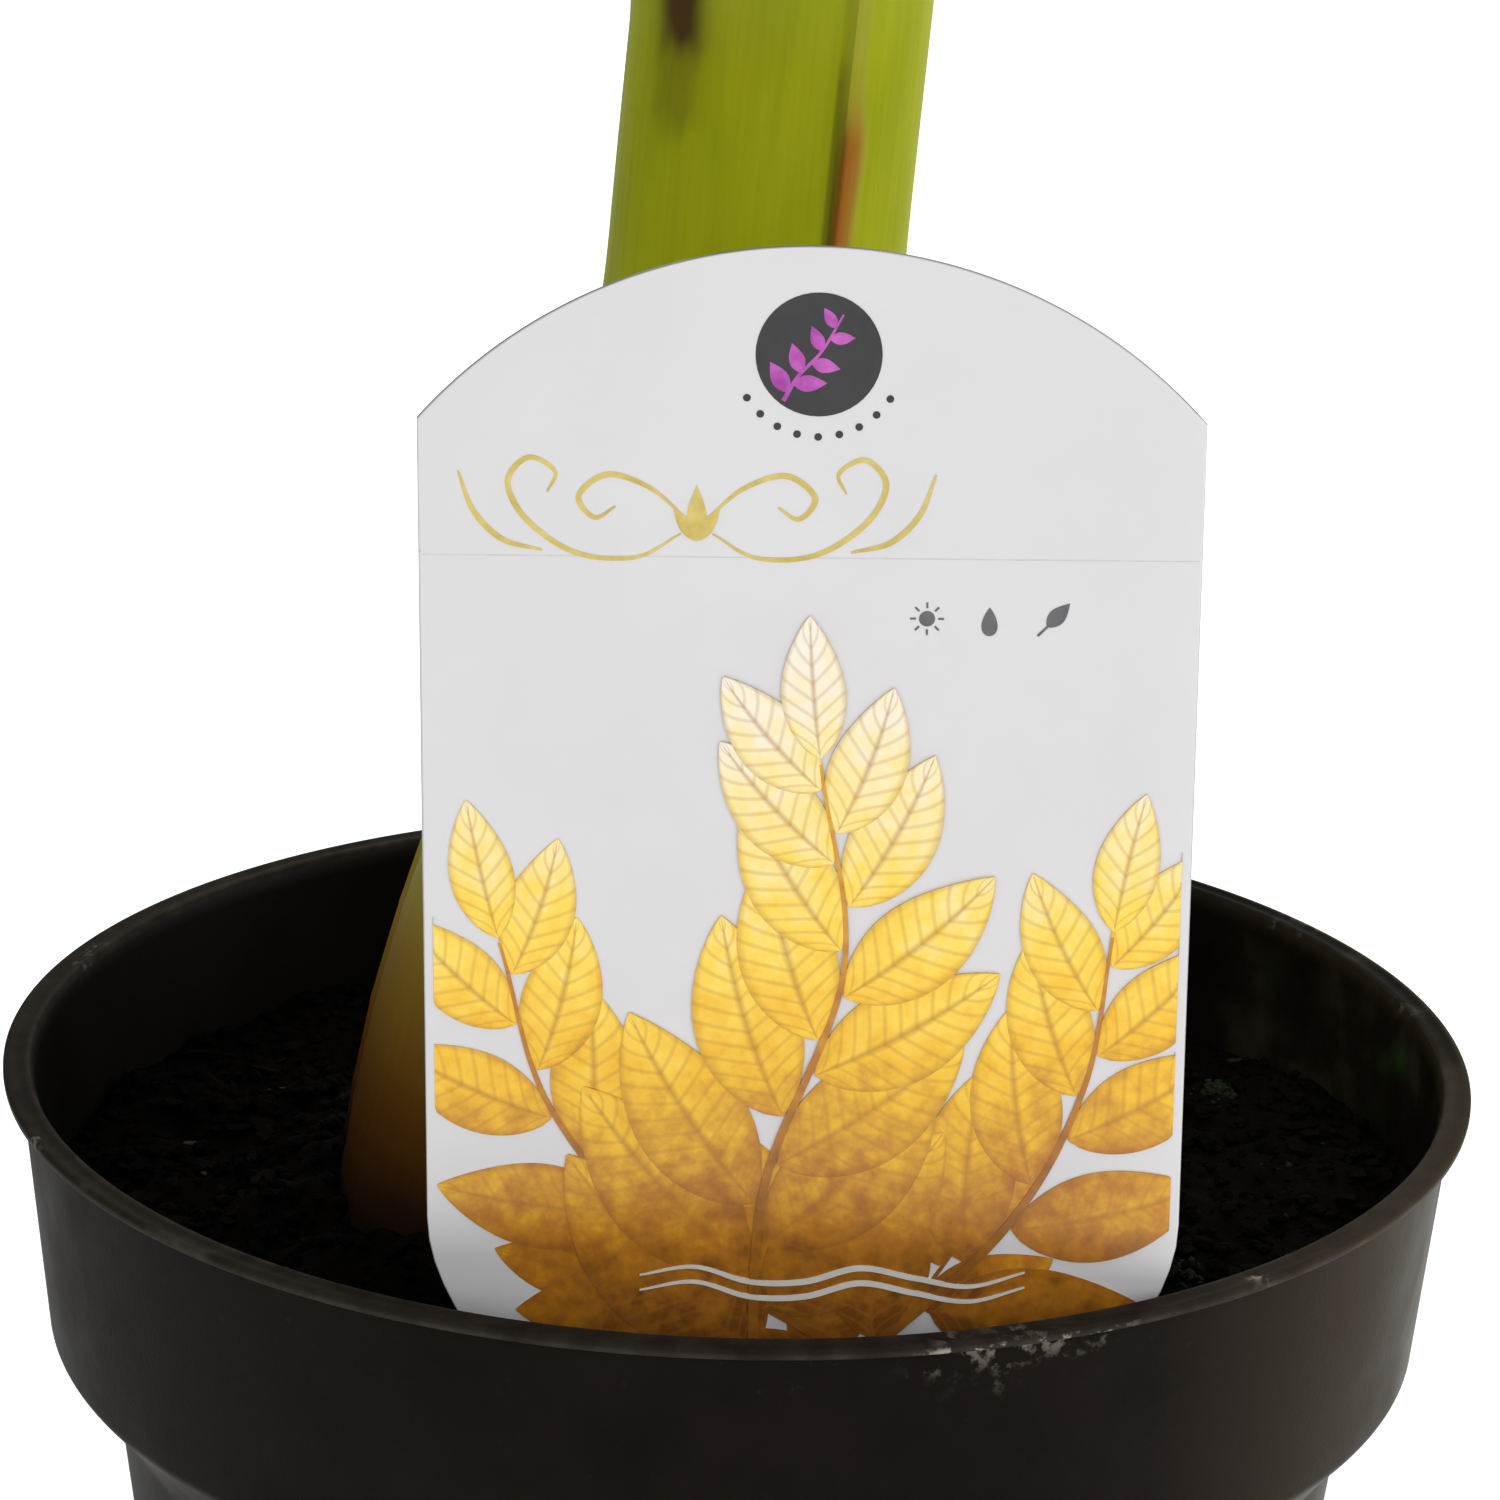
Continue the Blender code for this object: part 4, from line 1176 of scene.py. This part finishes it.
def make_stalk(leaf, paint):
    """Sheath, channelled petiole and midrib in one tapering piece."""
    places = np.concatenate((
        np.linspace(-leaf.sheath_run, 0, 16), np.linspace(0, leaf.petiole, 34)[1:],
        leaf.petiole + leaf.blade * np.linspace(0, 1, 90)[1:] ** 1.1 * 0.985,
    ))
    shares = np.sin(np.linspace(-math.pi / 2, math.pi / 2, 43))
    place, across = np.meshgrid(places, shares, indexing="ij")
    blade_share = np.clip((place - leaf.petiole) / leaf.blade, 0, 1)
    half_width = leaf.stalk_half_width(place)
    middle, normal = leaf.surface(place, across * half_width)
    on_petiole = 1 - ease(blade_share / 0.12)
    off_stem = middle - stem_centre(middle[..., 2])
    around = turned_by(np.arctan2(off_stem[..., 1], off_stem[..., 0]), FRONT) * SHAFT_RADIUS
    on_stem = ease(place / (10 * MM) + 1)
    full = LEAF_THICKNESS / 2 * mix(0.5, 1, on_stem)
    rounding = np.sqrt(np.maximum(1 - across ** 2, 0))
    wing = mix(STALK_EDGE, full, 0.35 + 0.65 * rounding) * ease((1 - np.abs(across)) / 0.02 + 0.3)
    rib_top = 0.42 * MM * (0.35 + 0.65 * (1 - across ** 2)) * mix(1, 0.55, blade_share)
    over = mix(rib_top, wing, on_petiole)
    keel = RIB_DEPTH * (1 - np.clip(place, 0, None) / leaf.length)
    keel_shape = mix(rounding, np.exp(-(across / 0.42) ** 2), on_petiole) * ease(place / (16 * MM))
    below = mix(0.3 * MM, wing, on_petiole) * (0.3 + 0.7 * rounding) + keel * keel_shape

    def doubled(numbers, backs=None):
        """Values of the upper side, followed by those of the underside on the way back."""
        return np.concatenate((numbers, (numbers if backs is None else backs)[:, ::-1]), axis=1)

    rings = doubled(middle + normal * over[..., None], middle - normal * below[..., None])
    edge = ease((np.abs(across) - 0.88) / 0.1) * on_petiole * ease(place / (14 * MM))
    name = f"stalk_{leaf.index + 1}"
    mesh = tube_mesh(
        name, rings, along=doubled(place), across=doubled(across * half_width), around=doubled(around),
        height=doubled(middle[..., 2]), rib=doubled(1 - on_petiole), edge=doubled(edge),
        on_stem=doubled(1 - ease(place / (34 * MM))),
    )
    add_piece(name, mesh, paint, [f"petiole_{leaf.index + 1}"], sharp=70)


def make_furled_leaf(paint):
    """The youngest leaf, rolled round itself, with its free edge winding up the outside."""
    rows, columns = 90, 110
    share, turn = np.meshgrid(np.linspace(0, 1, rows), np.linspace(0, 1, columns), indexing="ij")
    belly = FURLED_BELLY * np.sin(math.pi * np.minimum(share / FURLED_BELLY_TOP, 1))
    radius = mix(FURLED_RADIUS, FURLED_TIP_RADIUS, share ** FURLED_TAPER_POWER) + belly
    angle = math.tau * FURLED_TURNS * turn + FURLED_TWIST * share
    radius = radius * mix(1, FURLED_CORE, turn)
    height = FORK_HEIGHT + FURLED_LENGTH * share + 0.3 * MM
    centre = stem_centre(FORK_HEIGHT) + STEM_LEAN * (height - FORK_HEIGHT)[..., None]
    centre = centre + FURLED_BEND * (share ** 2)[..., None]
    middle = centre + level_direction(angle) * radius[..., None]
    half = level_direction(angle) * FURLED_THICKNESS / 2
    mesh = shell_mesh(
        "blade_furled", middle + half, middle - half, grid_faces(rows, columns),
        vein=height + 0.9 * angle * radius, across=0 * angle, age=0 * angle, veined=np.ones_like(angle),
    )
    add_piece("blade_furled", mesh, paint, ["leaf_furled"], sharp=60)


def make_leaves():
    blade = leaf_paint("leaf", (0.045, 0.12, 0.03), (0.085, 0.19, 0.05), (0.16, 0.26, 0.13))
    young = leaf_paint("leaf_young", (0.14, 0.26, 0.05), (0.22, 0.36, 0.08), (0.2, 0.32, 0.13))
    stalk = stalk_paint()
    for index in range(LEAF_COUNT):
        leaf = Leaf(index)
        make_blade(leaf, blade)
        make_stalk(leaf, stalk)
    make_furled_leaf(young)


# ---------------------------------------------------------------- label

LABEL_MATRIX = np.array(
    Matrix.Translation((LABEL_X, LABEL_Y, POT_HEIGHT)) @ Matrix.Rotation(LABEL_TILT, 4, "Y")
)


def on_label(u, v, lift=0.0):
    """Points over the label's front face; lift is their distance in front of it."""
    local = points_at(u, -(LABEL_THICKNESS / 2 + lift), v)
    return local @ LABEL_MATRIX[:3, :3].T + LABEL_MATRIX[:3, 3]


def label_outline():
    """(u, v) points round the label, from the middle of its arch, right side first."""
    arch_angle = math.asin(LABEL_HALF_WIDTH / LABEL_ARCH_RADIUS)
    arch_centre = LABEL_SHOULDER - LABEL_ARCH_RADIUS * math.cos(arch_angle)
    angles = np.linspace(0, arch_angle, 30)
    right = [
        (LABEL_ARCH_RADIUS * math.sin(angle), arch_centre + LABEL_ARCH_RADIUS * math.cos(angle))
        for angle in angles
    ]
    right += [(LABEL_HALF_WIDTH, v) for v in np.linspace(LABEL_SHOULDER, LABEL_TAPER_TOP, 14)[1:]]
    for share in np.linspace(0, 1, 22)[1:]:
        half_width = mix(LABEL_HALF_WIDTH, LABEL_SPIKE_HALF_WIDTH, float(ease(share)))
        right.append((half_width, mix(LABEL_TAPER_TOP, LABEL_TAPER_FOOT, share)))
    for share in np.sin(np.linspace(0, math.pi / 2, 12))[1:]:
        half_width = LABEL_SPIKE_HALF_WIDTH * math.sqrt(max(1 - share * share, 0))
        right.append((half_width, mix(LABEL_TAPER_FOOT, LABEL_SPIKE_TIP, share)))
    return np.array(right + [(-u, v) for u, v in right[-2:0:-1]])


# The label's rounded edge: (inset in mm, depth in mm, greyness that is painted shade on the edge)
LABEL_EDGE = ((0.25, 0.0, 0.0), (0.18, 0.01, 0.0), (0.1, 0.05, 0.3), (0.04, 0.12, 1.0), (0.0, 0.3, 1.0))


def make_label():
    """The plate, with its edge rounded over and darkened by painted shade."""
    outline = label_outline()
    middle = np.array((0, 35 * MM))
    inward = middle - outline
    inward /= np.linalg.norm(inward, axis=-1, keepdims=True)
    flats = [(middle + (outline - middle) * share, 0.0, 0.0) for share in (0.02, 0.3, 0.6, 0.85)]
    flats += [(outline + inward * inset * MM, depth * MM, grey) for inset, depth, grey in LABEL_EDGE]
    front = np.array([on_label(flat[:, 0], flat[:, 1], -depth) for flat, depth, _ in flats])
    back = front.copy()
    back[..., 1] = 2 * LABEL_Y - back[..., 1]
    # the rim value carries the painted shade of the edge
    rim = np.tile(np.array([[grey] for _, _, grey in flats]), (1, len(outline)))
    rings = np.concatenate((front, back[-2::-1]))
    mesh = tube_mesh("label_plate", rings, rim=np.concatenate((rim, rim[-2::-1])))
    bm = bmesh.new()
    bm.from_mesh(mesh)
    bmesh.ops.recalc_face_normals(bm, faces=bm.faces)
    bm.to_mesh(mesh)
    bm.free()
    add_piece("label_plate", mesh, label_paint(), ["label"], sharp=50)


def stroke(path, widths):
    """Points on both sides of a path of (u, v) points, with a width at each."""
    ahead = np.gradient(path, axis=0)
    left = np.stack((-ahead[:, 1], ahead[:, 0]), axis=-1)
    left /= np.linalg.norm(left, axis=-1, keepdims=True)
    half = left * np.broadcast_to(widths, len(path))[:, None] / 2
    return np.stack((path + half, path - half), axis=1)


class Print:
    """Thin ink shapes on the label's face, gathered into one closed mesh."""

    def __init__(self):
        self.over, self.faces, self.values = [], [], []
        self.count = 0

    def add(self, uv, faces, lift, **values):
        """Adds points and their faces, turned to face the front."""
        uv = np.reshape(uv, (-1, 2))
        corners = np.array([uv[list(face[:3])] for face in faces])
        ahead, aside = corners[:, 1] - corners[:, 0], corners[:, 2] - corners[:, 0]
        area = np.sum(ahead[:, 0] * aside[:, 1] - ahead[:, 1] * aside[:, 0])
        for face in faces:
            turned = face if area > 0 else reversed(face)
            self.faces.append(tuple(index + self.count for index in turned))
        self.over.append(on_label(uv[:, 0], uv[:, 1], lift))
        self.values.append(values)
        self.count += len(uv)

    def polygon(self, uv, lift=INK_LIFT):
        uv = np.array(uv)
        self.add(uv, tessellate_polygon([[Vector((*point, 0)) for point in uv]]), lift)

    def disc(self, centre, radius, lift=INK_LIFT, count=48):
        angles = math.tau * np.arange(count) / count
        self.polygon(centre + radius * level_direction(angles)[:, :2], lift)

    def ribbon(self, path, widths, lift=INK_LIFT):
        self.add(stroke(path, widths), grid_faces(len(path), 2), lift)

    def finish(self, name, paint, slot):
        over = np.concatenate(self.over)
        sunk = over.copy()
        sunk[:, 1] = on_label(0, 0, -0.05 * MM)[1]
        layers = {
            key: np.concatenate([np.ravel(values[key]) for values in self.values])
            for key in self.values[0]
        }
        add_piece(name, shell_mesh(name, over, sunk, self.faces, **layers), paint)


def curl(points, steps=14):
    """A smooth curve through a few (u, v) points given in mm."""
    points = np.array(points, float)
    padded = np.vstack((2 * points[0] - points[1], points, 2 * points[-1] - points[-2]))
    result = []
    for a, b, c, d in zip(padded, padded[1:], padded[2:], padded[3:]):
        for t in np.arange(steps) / steps:
            bend, twist = 2 * a - 5 * b + 4 * c - d, 3 * b - a - 3 * c + d
            result.append(0.5 * (2 * b + (c - a) * t + bend * t ** 2 + twist * t ** 3))
    result.append(points[-1])
    return np.array(result) * MM


def swelling(count, thin, thick):
    """The widths in mm of a stroke that is thickest in its middle."""
    return mix(thin, thick, np.sin(np.linspace(0, math.pi, count)) ** 0.8) * MM


def pointed_oval(foot, angle, length, width, steps=14):
    """(u, v) points in mm round a leaf shape, from its foot, at an angle from upright."""
    turn = math.radians(angle)
    ahead = np.array((math.sin(turn), math.cos(turn)))
    aside = np.array((ahead[1], -ahead[0]))
    shares = np.linspace(0, 1, steps)[:, None]
    half = width / 2 * np.sin(math.pi * shares ** 0.8)
    middle = np.array(foot) + ahead * length * shares
    right = middle + aside * half
    left = middle - aside * half
    return np.concatenate((right[:-1], left[:0:-1]))


def golden_tone(v):
    """Where a height on the label, in mm, lies in the golden print's colours."""
    return np.clip((v + 6) / 60, 0.04, 1)


def golden_leaf(ink, foot, angle, length, width, bend, lift):
    """A veined leaf of the golden print, cut off at the label's edges."""
    rows, columns = 26, 9
    share, across = np.meshgrid(np.linspace(0, 1, rows), np.linspace(-1, 1, columns), indexing="ij")
    turn = math.radians(angle) + math.radians(bend) * share
    step_u = np.cumsum(np.sin(turn[:, 0])) * length / rows
    step_v = np.cumsum(np.cos(turn[:, 0])) * length / rows
    outline = np.maximum(np.sin(math.pi * share ** 0.85) ** 0.8, 0.02)
    u = foot[0] + step_u[:, None] + np.cos(turn) * across * width / 2 * outline
    v = foot[1] + step_v[:, None] - np.sin(turn) * across * width / 2 * outline
    edge = mix(*PRINT_HALF_WIDTH, ease((4 - v) / 12))
    inside = mix(np.clip(u, -edge, edge), u, 0.002)  # a trace of slope keeps the faces' area
    uv = np.stack((inside, v), axis=-1) * MM
    reach = np.abs(across)
    tone = golden_tone(v) + 0.12 * share - 0.06 * reach
    ink.add(uv, grid_faces(rows, columns), lift, tone=tone, across=reach, along=share * length * MM)


def golden_branch(ink, bends, count, lengths, first_lift):
    """A branch through (u, v) points in mm, with leaves on alternate sides and one at its end."""
    path = curl(bends)
    ahead = np.gradient(path, axis=0)
    directions = np.degrees(np.unwrap(np.arctan2(ahead[:, 0], ahead[:, 1])))
    for order in range(count):
        share = (order + 0.5) / count
        index = int(share * (len(path) - 1))
        side = 1 if order % 2 else -1
        length = mix(*lengths, share)
        angle = directions[index] + side * mix(52, 38, share)
        lift = first_lift + order * INK_STEP
        golden_leaf(ink, path[index] / MM, angle, length, 0.46 * length, -side * 16, lift)
    end = first_lift + count * INK_STEP
    golden_leaf(ink, path[-1] / MM, directions[-1], lengths[1], 0.42 * lengths[1], 6, end)
    grid = stroke(path, np.linspace(0.9, 0.25, len(path)) * MM)
    tone = golden_tone(grid[..., 1] / MM) * 0.45
    values = {"tone": tone, "across": np.full_like(tone, 0.5), "along": np.zeros_like(tone)}
    ink.add(grid, grid_faces(len(path), 2), end + 0.006 * MM, **values)


def make_seal():
    """A dark disc with a violet sprig, and a row of dots under it."""
    centre = np.array((0.48, 75.5))
    seal = Print()
    seal.disc(centre * MM, 4.8 * MM)
    for dot in centre + 6.4 * level_direction(np.radians(np.linspace(-148, -32, 9)))[:, :2]:
        seal.disc(dot * MM, 0.3 * MM, count=12)
    dark = ink_paint("label_ink_dark", (0.012, 0.012, 0.014), (0.018, 0.018, 0.02))
    seal.finish("label_seal", dark, "label_print_dark")

    sprig = Print()
    stem = curl(((-2.2, 71.9), (-1.1, 73.8), (0.7, 75.8), (2.3, 78.6)))
    sprig.ribbon(stem, np.linspace(0.34, 0.16, len(stem)) * MM, 0.06 * MM)
    ahead = np.gradient(stem, axis=0)
    for order, share in enumerate((0.14, 0.26, 0.4, 0.54, 0.68, 0.8, 0.9)):
        index = int(share * (len(stem) - 1))
        direction = math.degrees(math.atan2(ahead[index, 0], ahead[index, 1]))
        angle = direction + (58 if order % 2 else -58)
        length = mix(2.9, 1.7, share)
        leaflet = pointed_oval(stem[index] / MM, angle, length, 0.5 * length)
        sprig.polygon(leaflet * MM, 0.07 * MM + order * INK_STEP)
    violet = ink_paint("label_ink_violet", (0.26, 0.02, 0.24), (0.46, 0.09, 0.42))
    sprig.finish("label_sprig", violet, "label_print_dark")


def make_flourish():
    """A scroll that is the same on both sides of a small leaf."""
    middle = np.array((-8.7, 62.4))
    scrolls = (
        (
            (1.2, -1.0), (4.6, -2.9), (9.2, -2.6), (13.0, 0.0),
            (14.4, 3.0), (12.8, 4.9), (10.8, 3.8), (11.4, 2.2),
        ),
        ((1.0, 0.4), (3.6, 2.6), (6.8, 3.6), (9.0, 1.9), (7.8, 0.2), (6.2, 1.1)),
        ((11.8, -2.4), (14.8, -1.6), (17.0, 0.6), (18.2, 3.8)),
    )
    flourish = Print()
    lift = INK_LIFT
    for side in (-1, 1):
        for scroll in scrolls:
            path = curl([middle + np.array((side * x, y)) for x, y in scroll])
            flourish.ribbon(path, swelling(len(path), 0.14, 0.46), lift)
            lift += INK_STEP
    for angle, length in ((0, 4.4), (-34, 3.2), (34, 3.2)):
        flourish.polygon(pointed_oval(middle - (0, 1.6), angle, length, 0.34 * length) * MM, lift)
        lift += INK_STEP
    gold_ink = ink_paint("label_ink_gold", (0.42, 0.32, 0.06), (0.56, 0.44, 0.13))
    flourish.finish("label_flourish", gold_ink, "label_print_gold")


def make_care_signs():
    """A sun, a drop and a leaf."""
    signs = Print()
    sun = np.array((9.0, 54.8))
    signs.disc(sun * MM, 0.62 * MM, count=20)
    for ray in level_direction(math.tau * np.arange(8) / 8)[:, :2]:
        signs.ribbon(np.array((sun + 0.85 * ray, sun + 1.3 * ray)) * MM, 0.16 * MM)
    signs.polygon([
        ((13.8 + 0.8 * math.sin(t) * math.sin(t / 2) ** 0.9) * MM, (54.6 + 1.15 * math.cos(t)) * MM)
        for t in np.linspace(0.01, math.tau - 0.01, 30)
    ])
    signs.polygon(pointed_oval((18.2, 54.2), 42, 2.6, 1.3) * MM)
    signs.ribbon(np.array(((17.5, 53.5), (18.3, 54.3))) * MM, 0.2 * MM, 0.045 * MM)
    grey = ink_paint("label_ink_grey", (0.07, 0.07, 0.075), (0.1, 0.1, 0.105))
    signs.finish("label_care_signs", grey, "label_print_dark")


def make_label_print():
    """A generic print: nothing on it is copied from a real label."""
    make_seal()
    make_flourish()
    make_care_signs()

    crease = Print()
    path = np.stack((np.linspace(-29.7, 29.7, 12), np.full(12, 59.55)), axis=-1) * MM
    crease.ribbon(path, 0.1 * MM, 0.01 * MM)
    pale = ink_paint("label_crease", (0.44, 0.44, 0.46), (0.5, 0.5, 0.52))
    crease.finish("label_crease", pale, "label_plastic")

    leaves = Print()
    golden_branch(leaves, ((2, -10), (-8, -5), (-15, 1)), 5, (14, 11), 0.02 * MM)
    golden_branch(leaves, ((0, -10), (7, -5), (12, 2)), 5, (14, 11), 0.05 * MM)
    golden_branch(leaves, ((6, -8), (-10, 2), (-20, 14), (-24, 28)), 10, (19, 12), 0.08 * MM)
    golden_branch(leaves, ((4, -8), (16, 4), (22, 16), (24, 29)), 10, (19, 12), 0.13 * MM)
    golden_branch(leaves, ((-4, -8), (-3, 8), (3, 26), (1, 43)), 15, (23, 12), 0.18 * MM)
    leaves.finish("label_golden_leaves", golden_paint(), "label_print_gold")

    wave = Print()
    for order, shift in enumerate((0, 1.3)):
        path = curl([(-13 + 4.4 * i, -1.4 + shift + 0.8 * math.sin(1.9 * i)) for i in range(8)])
        wave.ribbon(path, swelling(len(path), 0.12, 0.5), 0.28 * MM + order * INK_STEP)
    white = ink_paint("label_ink_white", (0.55, 0.54, 0.5), (0.62, 0.6, 0.57))
    wave.finish("label_wave", white, "label_print_gold")


# ---------------------------------------------------------------- stage

def make_floor():
    segments = 64
    radii = np.array((0.4, 1, 2, 4, 8))[:, None, None]
    points = radii * level_direction(math.tau * np.arange(segments) / segments)
    points[..., 2] = -0.3 * MM
    faces = grid_faces(len(radii), segments, wrap=True) + [tuple(reversed(range(segments)))]
    mesh = new_mesh("floor", points, faces)
    paint = Paint("floor_paper", 0.9, 0.1)
    paint.colour = paint.ramp(paint.noise(0.3), (0.3, (0.86, 0.86, 0.86)), (0.7, (0.88, 0.88, 0.88)))
    mesh.materials.append(paint.finish())
    new_object("floor", mesh)


def add_light(name, place, target, size, power):
    """A round soft light that isn't seen itself, with its power in watts."""
    data = bpy.data.lights.new(name, "AREA")
    data.shape = "DISK"
    data.size = size
    data.energy = power
    light = new_object(name, data)
    light.visible_camera = False
    light.location = place
    direction = Vector(target) - Vector(place)
    light.rotation_euler = direction.to_track_quat("-Z", "Y").to_euler()


PLANT_MIDDLE = (0, 0, 0.15)
LIGHTS = (  # (name, place, target, size, power)
    ("key", (-0.2, -1.6, 0.9), PLANT_MIDDLE, 0.9, 9),
    ("fill", (0.9, -1.4, 0.7), PLANT_MIDDLE, 0.9, 7),
    ("right", (1.7, 0.3, 0.5), PLANT_MIDDLE, 0.9, 19),
    ("top", (0, 0.8, 6), (0, 0.4, 0), 6, 330),
    ("back", (0.3, 1.9, 0.8), PLANT_MIDDLE, 1.6, 18),
)
AMBIENT_LIGHT = 0.42


def make_studio():
    world = bpy.data.worlds.new("studio")
    world.use_nodes = True
    background = world.node_tree.nodes["Background"]
    background.inputs["Color"].default_value = (1, 1, 1, 1)
    background.inputs["Strength"].default_value = AMBIENT_LIGHT
    bpy.context.scene.world = world
    bpy.context.scene.view_settings.view_transform = "Standard"
    for light in LIGHTS:
        add_light(*light)


def make_camera():
    data = bpy.data.cameras.new("camera")
    data.lens = VIEW_LENS
    data.sensor_width = VIEW_SENSOR
    data.clip_start = 0.01
    camera = new_object("camera", data)
    back = Vector((0, -math.cos(VIEW_ELEVATION), math.sin(VIEW_ELEVATION)))
    right = Vector((1, 0, 0))
    up = back.cross(right)
    across = right * math.cos(VIEW_ROLL) + up * math.sin(VIEW_ROLL)
    above = -right * math.sin(VIEW_ROLL) + up * math.cos(VIEW_ROLL)
    turn = Matrix((across, above, back)).transposed().to_4x4()
    camera.matrix_world = Matrix.Translation(VIEW_TARGET + back * VIEW_DISTANCE) @ turn
    bpy.context.scene.camera = camera


make_pot()
make_soil()
make_crumbs()
make_pseudostem()
make_leaves()
make_label()
make_label_print()
make_floor()
make_studio()
make_camera()
